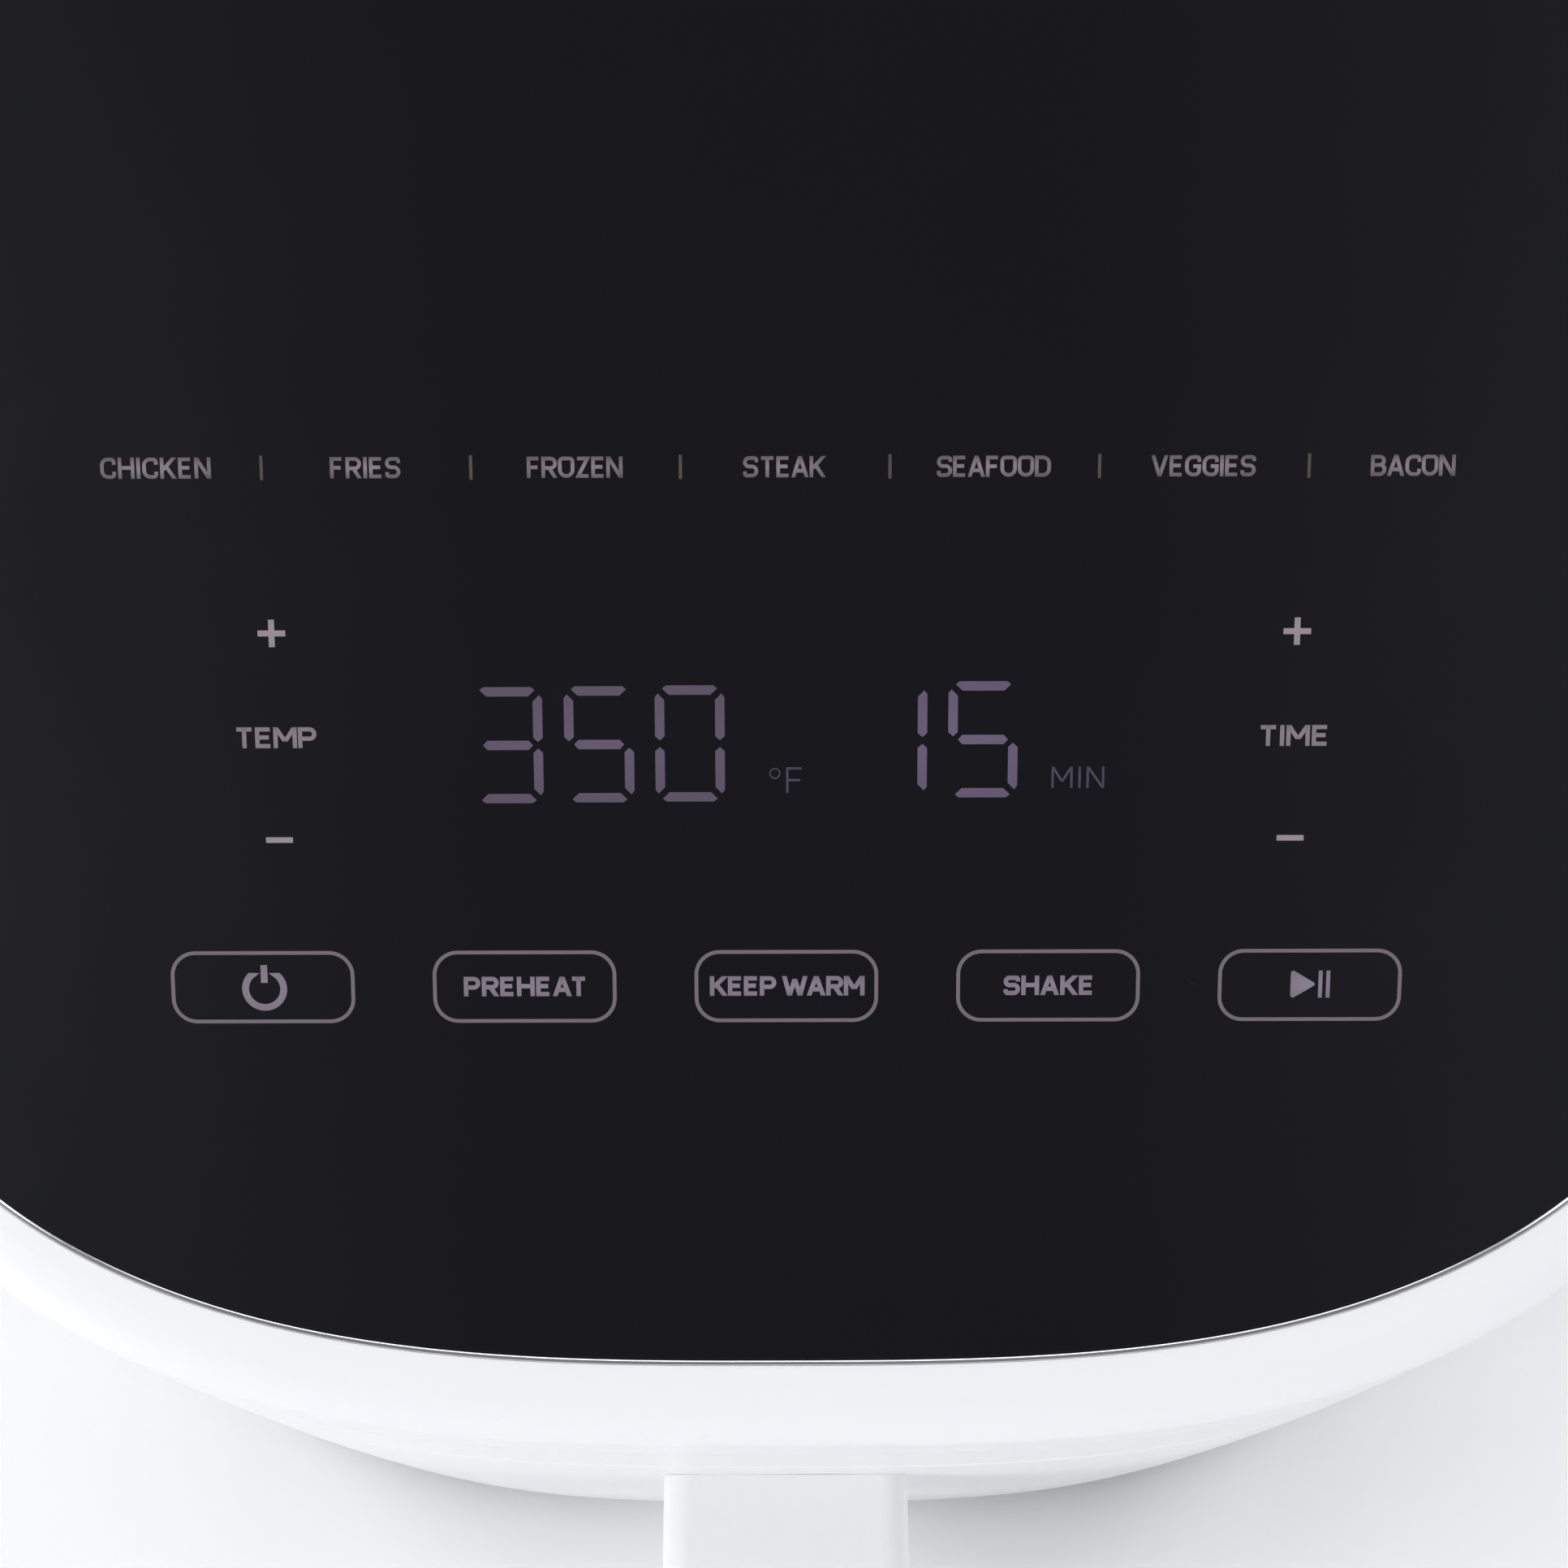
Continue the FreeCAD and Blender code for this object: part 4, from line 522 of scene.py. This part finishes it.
def rounded_path(points, closed=False, steps=6):
    """Replaces each (x, y, r) corner by an arc of radius r. Plain (x, y) corners stay sharp."""
    count, out = len(points), []
    for i, point in enumerate(points):
        here = Vector(point[:2])
        radius = point[2] if len(point) > 2 else 0.0
        if not radius or (not closed and i in (0, count - 1)):
            out.append(here)
            continue
        before = Vector(points[i - 1][:2]) - here
        after = Vector(points[(i + 1) % count][:2]) - here
        half = before.angle(after) / 2
        reach = min(radius / math.tan(half), before.length * 0.5, after.length * 0.5)
        start, stop = here + before.normalized() * reach, here + after.normalized() * reach
        bisector = (before.normalized() + after.normalized()).normalized()
        middle = here + bisector * (reach / math.cos(half))
        first, sweep = start - middle, (start - middle).angle_signed(stop - middle)
        for k in range(steps + 1):
            turn = -sweep * k / steps
            c, s = math.cos(turn), math.sin(turn)
            out.append(middle + Vector((first.x * c - first.y * s, first.x * s + first.y * c)))
    return [p for i, p in enumerate(out) if i == 0 or (p - out[i - 1]).length > 0.01]


MITRE_LIMIT = 0.4            # least cosine of half a corner's turn that its mitre follows
STEEP = 0.35                 # rise for a run of 1, from which a stroke's end counts as a leg


def stroke(bm, path, width, closed=False):
    """Ribbon of one width along a path of panel points, mitred at its corners, as one closed solid."""
    count, left, right = len(path), [], []
    for i, here in enumerate(path):
        before = path[i - 1] if closed or i else None
        after = path[(i + 1) % count] if closed or i < count - 1 else None
        into = (here - before).normalized() if before is not None else (after - here).normalized()
        out = (after - here).normalized() if after is not None else into
        normal = Vector((-into.y - out.y, into.x + out.x)).normalized()
        spread = 1.0 / max(MITRE_LIMIT, normal.dot(Vector((-into.y, into.x))))
        if before is None or after is None:
            if abs(into.y) > STEEP * abs(into.x):     # a leg is cut level with its line of text
                normal, spread = Vector((-math.copysign(1, into.y), 0.0)), 1.0 / abs(into.y)
        left.append(here + normal * (width / 2 * spread))
        right.append(here - normal * (width / 2 * spread))
    runs = count if closed else count - 1
    ring = {}

    def vert(side, index, height):
        key = (side, index % count, height)
        if key not in ring:
            p = (left if side == "L" else right)[index % count]
            ring[key] = bm.verts.new(on_panel(p.x, p.y, height))
        return ring[key]

    for i in range(runs):
        for height, flip in ((PRINT_HIGH, False), (PRINT_LOW, True)):
            quad = [vert("L", i, height), vert("R", i, height),
                    vert("R", i + 1, height), vert("L", i + 1, height)]
            bm.faces.new(list(reversed(quad)) if flip else quad)
        for side in "LR":
            quad = [vert(side, i, PRINT_LOW), vert(side, i + 1, PRINT_LOW),
                    vert(side, i + 1, PRINT_HIGH), vert(side, i, PRINT_HIGH)]
            bm.faces.new(quad if side == "R" else list(reversed(quad)))
    if not closed:
        for i in (0, count - 1):
            quad = [vert("L", i, PRINT_LOW), vert("L", i, PRINT_HIGH),
                    vert("R", i, PRINT_HIGH), vert("R", i, PRINT_LOW)]
            bm.faces.new(quad if i == 0 else list(reversed(quad)))


R, Q = 0.30, 0.24     # corner radii of round letters, as a share of the letter's height
# Each letter: its width for a height of 1, then its strokes as (x, y) shares, a corner with its radius.
LETTERS = {
    "A": (0.68, [[(0, 0), (.5, 1), (1, 0)], [(.2, .27), (.8, .27)]]),
    "B": (0.60, [[(0, .53), (0, 1), (.93, 1, Q), (.93, .53, Q), (0, .53)],
                 [(0, .53), (1, .53, Q), (1, 0, Q), (0, 0), (0, .53)]]),
    "C": (0.60, [[(1, .70), (1, 1, R), (0, 1, R), (0, 0, R), (1, 0, R), (1, .30)]]),
    "D": (0.62, [[(0, 0), (0, 1), (1, 1, R), (1, 0, R), (0, 0)]]),
    "E": (0.52, [[(1, 1), (0, 1), (0, 0), (1, 0)], [(0, .52), (.9, .52)]]),
    "F": (0.50, [[(1, 1), (0, 1), (0, 0)], [(0, .5), (.9, .5)]]),
    "G": (0.62, [[(1, .72), (1, 1, R), (0, 1, R), (0, 0, R), (1, 0, R), (1, .48), (.52, .48)]]),
    "H": (0.64, [[(0, 0), (0, 1)], [(1, 0), (1, 1)], [(0, .52), (1, .52)]]),
    "I": (0.0, [[(0, 0), (0, 1)]]),
    "K": (0.62, [[(0, 0), (0, 1)], [(1, 1), (.04, .36)], [(.36, .58), (1, 0)]]),
    "M": (0.78, [[(0, 0), (0, 1), (.5, .28), (1, 1), (1, 0)]]),
    "N": (0.64, [[(0, 0), (0, 1), (1, 0), (1, 1)]]),
    "O": (0.64, [[(.5, 1), (1, 1, R), (1, 0, R), (0, 0, R), (0, 1, R), (.5, 1)]]),
    "P": (0.58, [[(0, 0), (0, 1), (1, 1, Q), (1, .44, Q), (0, .44)]]),
    "R": (0.60, [[(0, 0), (0, 1), (1, 1, Q), (1, .46, Q), (0, .46)], [(.5, .46), (1, 0)]]),
    "S": (0.58, [[(1, .76), (1, 1, Q), (0, 1, Q), (0, .52, Q),
                  (1, .52, Q), (1, 0, Q), (0, 0, Q), (0, .24)]]),
    "T": (0.62, [[(0, 1), (1, 1)], [(.5, 1), (.5, 0)]]),
    "V": (0.66, [[(0, 1), (.5, 0), (1, 1)]]),
    "W": (1.0, [[(0, 1), (.25, 0), (.5, .96), (.75, 0), (1, 1)]]),
    "Z": (0.56, [[(0, 1), (1, 1), (0, 0), (1, 0)]]),
}
WORD_GAP = 0.34                                               # as a share of the height
CLOSER = {"AT": 0.15, "P ": 0.06, " W": 0.06, "WA": 0.06}     # pairs set closer, as shares of the height


SHARP_CORNER = math.radians(75.0)


def legs(line):
    """Splits a letter's stroke where it doubles back, so that each leg is cut level with the text."""
    parts = [[line[0]]]
    for before, here, after in zip(line, line[1:], line[2:]):
        parts[-1].append(here)
        back = Vector(before[:2]) - Vector(here[:2])
        onward = Vector(after[:2]) - Vector(here[:2])
        if len(here) == 2 and back.angle(onward) < SHARP_CORNER:
            parts.append([here])
    parts[-1].append(line[-1])
    return parts


def letter(bm, strokes, x, s, width, height, weight):
    """Draws one letter whose stroke centres span width, with its foot at (x, s)."""
    inner = height - weight
    for line in (leg for whole in strokes for leg in legs(whole)):
        points = []
        for k, point in enumerate(line):
            y = s + weight / 2 + point[1] * inner
            end = k in (0, len(line) - 1)
            neighbour = line[1] if k == 0 else line[-2]
            if end and neighbour[1] != point[1] and point[1] in (0, 1):      # an upright ends at the edge
                y = s + point[1] * height
            corner = (x + weight / 2 + point[0] * width, y)
            points.append(corner + ((point[2] * height,) if len(point) > 2 else ()))
        stroke(bm, rounded_path(points), weight)


def draw_text(bm, text, centre_x, centre_s, height, weight, width, stretch=1.0):
    """Plain capitals centred on (centre_x, centre_s), spaced so that the whole is width wide."""
    spans = [LETTERS[c][0] * height * stretch + weight if c != " " else WORD_GAP * height for c in text]
    closer = [CLOSER.get(text[k:k + 2], 0.0) * height for k in range(len(text))]
    gap = (width - sum(spans) + sum(closer)) / (len(text) - 1)
    x = centre_x - width / 2
    for c, span, less in zip(text, spans, closer):
        if c != " ":
            letter(bm, LETTERS[c][1], x, centre_s - height / 2, span - weight, height, weight)
        x += span + gap - less


DIGIT_HALF_HEIGHT, DIGIT_STROKE = 6.4, 1.12     # between the centre lines of its top and bottom segments
DIGIT_HALF_WIDTH = 3.55
BAR_LENGTH, MIDDLE_LENGTH, POST_LENGTH = 6.5, 5.9, 5.6
LIT = {"0": "abcdef", "1": "bc", "3": "abcdg", "5": "acdfg"}


def digit(bm, figure, x, s):
    """Seven-segment figure centred on (x, s). Segments have bevelled ends with their points outwards."""
    t = DIGIT_STROKE / 2

    def bar(level, length, outward):
        half = length / 2
        if outward:
            shape = [(-half, .35 * t), (-half + .8 * t, t), (half - .8 * t, t), (half, .35 * t),
                     (half - 1.4 * t, -t), (-half + 1.4 * t, -t)]
        else:
            shape = [(-half, 0), (-half + .9 * t, t), (half - .9 * t, t), (half, 0),
                     (half - .9 * t, -t), (-half + .9 * t, -t)]
        flat_solid(bm, [(x + u, s + level + v * (outward or 1)) for u, v in shape])

    def post(side, up):
        half = POST_LENGTH / 2
        shape = [(.35 * t, half), (t, half - .8 * t), (t, -half + .9 * t), (0, -half),
                 (-t, -half + .9 * t), (-t, half - 1.4 * t)]
        middle = DIGIT_HALF_HEIGHT / 2
        flat_solid(bm, [(x + side * (DIGIT_HALF_WIDTH + u), s + up * (middle + v)) for u, v in shape])

    for segment in LIT[figure]:
        if segment in "agd":
            level = {"a": 1, "g": 0, "d": -1}[segment]
            bar(level * DIGIT_HALF_HEIGHT, MIDDLE_LENGTH if level == 0 else BAR_LENGTH, level)
        else:
            post(1 if segment in "bc" else -1, 1 if segment in "bf" else -1)


def ring_path(x, s, radius, start, stop, steps=28):
    return [Vector((x + radius * math.sin(a), s + radius * math.cos(a)))
            for a in (math.radians(start + (stop - start) * k / steps) for k in range(steps + 1))]


# Places on the panel in mm: x of a column or of the middle of a row, s of a row.
PRESETS = [("CHICKEN", 12.8), ("FRIES", 8.15), ("FROZEN", 11.1), ("STEAK", 9.55), ("SEAFOOD", 13.2),
           ("VEGGIES", 12.1), ("BACON", 9.8)]                   # each with its width
PRESET_PITCH, PRESET_X, PRESET_S = 24.27, 0.12, -1.4
SEPARATOR_X, SEPARATOR_LOW, SEPARATOR_HIGH = 0.22, -2.8, 0.0
COLUMNS = [(-60.02, "temperature", "TEMP", 9.68), (60.18, "time", "TIME", 8.32)]
PLUS_S, LABEL_S, MINUS_S = -20.7, -33.1, -45.45
PLUS_ARM, PLUS_HALF_WIDTH = 1.62, 0.35
MINUS_ARM, MINUS_WIDTH = 1.6, 0.68
TEMPERATURE = [("3", -32.58, -34.08), ("5", -21.82, -34.0), ("0", -11.1, -33.92)]
TIMER = [("1", 12.8, -33.6), ("5", 23.5, -33.5)]
KEY_PITCH, KEY_X, KEY_S = 31.46, 0.23, -63.54
KEY_HALF_X, KEY_HALF_S, KEY_CORNER, KEY_LINE = 10.81, 4.25, 2.8, 0.45
KEY_WORDS = [(1, "PREHEAT", 14.85), (2, "KEEP WARM", 18.6), (3, "SHAKE", 10.9)]     # key, word, width


def upright(bm, x, low, high, width):
    stroke(bm, [Vector((x, low)), Vector((x, high))], width)


def make_presets():
    word = printed("print_word", srgb(80, 74, 76), srgb(128, 117, 131))
    fine = printed("print_fine", srgb(64, 59, 55), srgb(70, 64, 60))
    middle = (len(PRESETS) - 1) / 2
    for k, (text, width) in enumerate(PRESETS):
        x = PRESET_X + (k - middle) * PRESET_PITCH
        panel_mark(f"preset_{k + 1}", word,
                   lambda bm: draw_text(bm, text, x, PRESET_S, 2.45, 0.42, width, 0.94))

    def separators(bm):
        for k in range(len(PRESETS) - 1):
            x = (k + 0.5 - middle) * PRESET_PITCH + SEPARATOR_X
            upright(bm, x, SEPARATOR_LOW, SEPARATOR_HIGH, 0.36)
    panel_mark("preset_separators", fine, separators)


def plus_sign(bm, x, s):
    arm, half = PLUS_ARM, PLUS_HALF_WIDTH
    corners = [(-half, -arm), (half, -arm), (half, -half), (arm, -half), (arm, half), (half, half),
               (half, arm), (-half, arm), (-half, half), (-arm, half), (-arm, -half), (-half, -half)]
    flat_solid(bm, [(x + u, s + v) for u, v in corners])


def minus_sign(bm, x, s):
    stroke(bm, [Vector((x - MINUS_ARM, s)), Vector((x + MINUS_ARM, s))], MINUS_WIDTH)


def make_columns():
    sign = printed("print_sign", srgb(120, 111, 117), srgb(128, 118, 125))
    label = printed("print_label", srgb(104, 97, 100), srgb(116, 107, 111))
    for x, name, text, width in COLUMNS:
        panel_mark(f"{name}_plus", sign, lambda bm: plus_sign(bm, x, PLUS_S))
        panel_mark(f"{name}_minus", sign, lambda bm: minus_sign(bm, x, MINUS_S))
        panel_mark(f"{name}_label", label,
                   lambda bm: draw_text(bm, text, x, LABEL_S, 2.5, 0.5, width, 1.16))


def make_display():
    figures = printed("print_figures", srgb(74, 65, 80), srgb(86, 75, 94), 0.4)
    minutes = printed("print_minutes", srgb(80, 70, 90), srgb(92, 81, 106), 0.4)
    unit = printed("print_unit", srgb(56, 52, 68), srgb(64, 60, 80))

    def row(bm, places):
        for figure, x, s in places:
            digit(bm, figure, x, s)
    panel_mark("temperature_figures", figures, lambda bm: row(bm, TEMPERATURE))
    panel_mark("time_figures", minutes, lambda bm: row(bm, TIMER))

    def degree(bm):
        stroke(bm, ring_path(-1.08, -37.52, 0.58, 0, 360)[:-1], 0.15, closed=True)
        letter(bm, LETTERS["F"][1], 0.26, -39.88, 1.68, 3.1, 0.27)
    panel_mark("degree_unit", unit, degree)
    panel_mark("minute_unit", unit, lambda bm: draw_text(bm, "MIN", 34.8, -38.07, 2.6, 0.27, 6.25, 1.1))


def key_centre(number):
    """x of the middle of a key, counted from 0 at the left."""
    return KEY_X + (number - 2) * KEY_PITCH


def key_frame(bm, x):
    corners = [(x + across * KEY_HALF_X, KEY_S + up * KEY_HALF_S, KEY_CORNER)
               for across, up in ((-1, -1), (1, -1), (1, 1), (-1, 1))]
    stroke(bm, rounded_path(corners, closed=True, steps=12), KEY_LINE, closed=True)


def power_symbol(bm):
    x, s = key_centre(0) + 0.18, KEY_S - 0.2
    stroke(bm, ring_path(x, s, 2.3, 32, 328), 0.82)
    upright(bm, x, s + 0.75, s + 2.95, 0.8)


def play_pause_symbol(bm):
    x, s = key_centre(4) + 0.1, KEY_S + 0.1
    triangle = rounded_path([(x - 2.4, s + 1.9, 0.3), (x - 2.4, s - 1.9, 0.3), (x + 0.72, s, 0.25)],
                            closed=True)
    flat_solid(bm, [(p.x, p.y) for p in triangle])
    for bar in (1.18, 2.1):
        upright(bm, x + bar, s - 1.68, s + 1.68, 0.47)


def make_keys():
    key = printed("print_key", srgb(102, 94, 104), srgb(120, 109, 124))
    outline = printed("print_outline", srgb(94, 86, 92), srgb(100, 91, 99))
    for k in range(5):
        panel_mark(f"key_outline_{k + 1}", outline, lambda bm: key_frame(bm, key_centre(k)))
    panel_mark("power_symbol", key, power_symbol)
    for k, text, width in KEY_WORDS:
        x, s = key_centre(k) + 0.1, KEY_S + 0.03
        panel_mark(f"key_word_{k}", key, lambda bm: draw_text(bm, text, x, s, 2.42, 0.53, width, 1.04))
    panel_mark("play_pause_symbol", key, play_pause_symbol)


# ---- studio -------------------------------------------------------------------------------------
AXIS_POINT = on_panel(0.0, -38.8)
CAMERA_DISTANCE = 0.3096
CAMERA_ELEVATION = math.radians(70.83)
CAMERA_ROLL = math.radians(-0.13)


def make_camera():
    data = bpy.data.cameras.new("camera")
    data.lens, data.sensor_width = 60.0, 36.0
    data.clip_start, data.clip_end = 0.02, 30.0
    camera = bpy.data.objects.new("camera", data)
    bpy.context.scene.collection.objects.link(camera)
    towards = Vector((0.0, -math.cos(CAMERA_ELEVATION), math.sin(CAMERA_ELEVATION)))
    camera.location = AXIS_POINT + towards * CAMERA_DISTANCE
    camera.rotation_mode = "QUATERNION"
    level = (-towards).to_track_quat("-Z", "Y")
    camera.rotation_quaternion = level @ Quaternion((0.0, 0.0, 1.0), CAMERA_ROLL)
    bpy.context.scene.camera = camera


LIGHT_AIM = (0.0, 0.0, 0.15)
LIGHTS = [                   # name, place, size and power in W
    ("rear_left", (-1.35, 0.62, 1.30), (1.0, 1.0), 10.5),
    ("rear_right", (1.35, 0.62, 1.30), (1.0, 1.0), 9.0),
    ("front_left", (-1.35, -0.95, 1.15), (0.9, 0.9), 23.0),
    ("front_right", (1.35, -0.95, 1.15), (0.9, 0.9), 12.0),
    ("back", (0.0, 1.6, 1.1), (1.6, 0.7), 8.0),
]
HORIZON_STRENGTH, OVERHEAD_STRENGTH = 0.66, 0.20
HORIZON_END, OVERHEAD_START = 0.20, 0.46         # sines of the elevations where each strength holds
FLOOR_RINGS = [(0.6, 0.0), (1.4, 0.0), (2.4, 0.0), (3.2, 0.02), (3.8, 0.10), (4.2, 0.22)]   # radius, height
FLOOR_SEGMENTS = 64
GLOW_START, GLOW_FULL, GLOW_STRENGTH = 0.8, 2.2, 0.42    # the far floor's own light: radii, then strength


def area_light(name, place, size, power):
    data = bpy.data.lights.new(name, "AREA")
    data.shape, data.size, data.size_y = "RECTANGLE", size[0], size[1]
    data.energy = power
    light = bpy.data.objects.new(name, data)
    light.location = place
    light.rotation_mode = "QUATERNION"
    light.rotation_quaternion = (Vector(LIGHT_AIM) - Vector(place)).to_track_quat("-Z", "Y")
    bpy.context.scene.collection.objects.link(light)


def make_floor():
    """Pale floor that rises into a low wall far out, so that no view sees its edge."""
    bm = bmesh.new()
    turns = [2 * math.pi * k / FLOOR_SEGMENTS for k in range(FLOOR_SEGMENTS)]
    rings = [[bm.verts.new((radius * math.cos(turn), radius * math.sin(turn), height)) for turn in turns]
             for radius, height in FLOOR_RINGS]
    bm.faces.new(rings[0])
    for inner, outer in zip(rings, rings[1:]):
        join_rings(bm, inner, outer)
    mesh = bpy.data.meshes.new("studio_floor")
    bm.to_mesh(mesh)
    bm.free()
    for polygon in mesh.polygons:
        polygon.use_smooth = True
    floor = bpy.data.objects.new("studio_floor", mesh)
    bpy.context.scene.collection.objects.link(floor)
    s = Shader("floor_paper", (0.85, 0.85, 0.86), 0.75, specular=0.2)
    s.vary_color(s.noise(3.0, detail=3.0), amount=0.01)
    s.vary_roughness(s.noise(20.0), amount=0.05)
    far = s.node("ShaderNodeVectorMath", operation="LENGTH")
    s.link(s.place, far.inputs[0])
    glow = s.ramp(far.outputs["Value"], GLOW_START, GLOW_FULL, 0.0, GLOW_STRENGTH)
    s.link(glow, s.principled.inputs["Emission Strength"])
    s.principled.inputs["Emission Color"].default_value = (*PALE_SKY, 1.0)
    mesh.materials.append(s.material)


def make_light():
    """Soft sky, brighter near the horizon, and area lights where the glass doesn't mirror them."""
    world = bpy.data.worlds.new("studio")
    world.use_nodes = True
    tree = world.node_tree
    background = tree.nodes["Background"]
    direction = tree.nodes.new("ShaderNodeTexCoord")
    split = tree.nodes.new("ShaderNodeSeparateXYZ")
    horizon = tree.nodes.new("ShaderNodeMapRange")
    horizon.interpolation_type = "SMOOTHSTEP"
    for socket, value in (("From Min", HORIZON_END), ("From Max", OVERHEAD_START),
                          ("To Min", HORIZON_STRENGTH), ("To Max", OVERHEAD_STRENGTH)):
        horizon.inputs[socket].default_value = value
    tree.links.new(direction.outputs["Generated"], split.inputs["Vector"])
    tree.links.new(split.outputs["Z"], horizon.inputs["Value"])
    tree.links.new(horizon.outputs["Result"], background.inputs["Strength"])
    background.inputs["Color"].default_value = (*PALE_SKY, 1.0)
    bpy.context.scene.world = world
    for name, place, size, power in LIGHTS:
        area_light(name, place, size, power)
    bpy.context.scene.view_settings.view_transform = "Standard"


dress_cad_nodes()
make_rim()
make_glass()
make_presets()
make_columns()
make_display()
make_keys()
make_floor()
make_light()
make_camera()
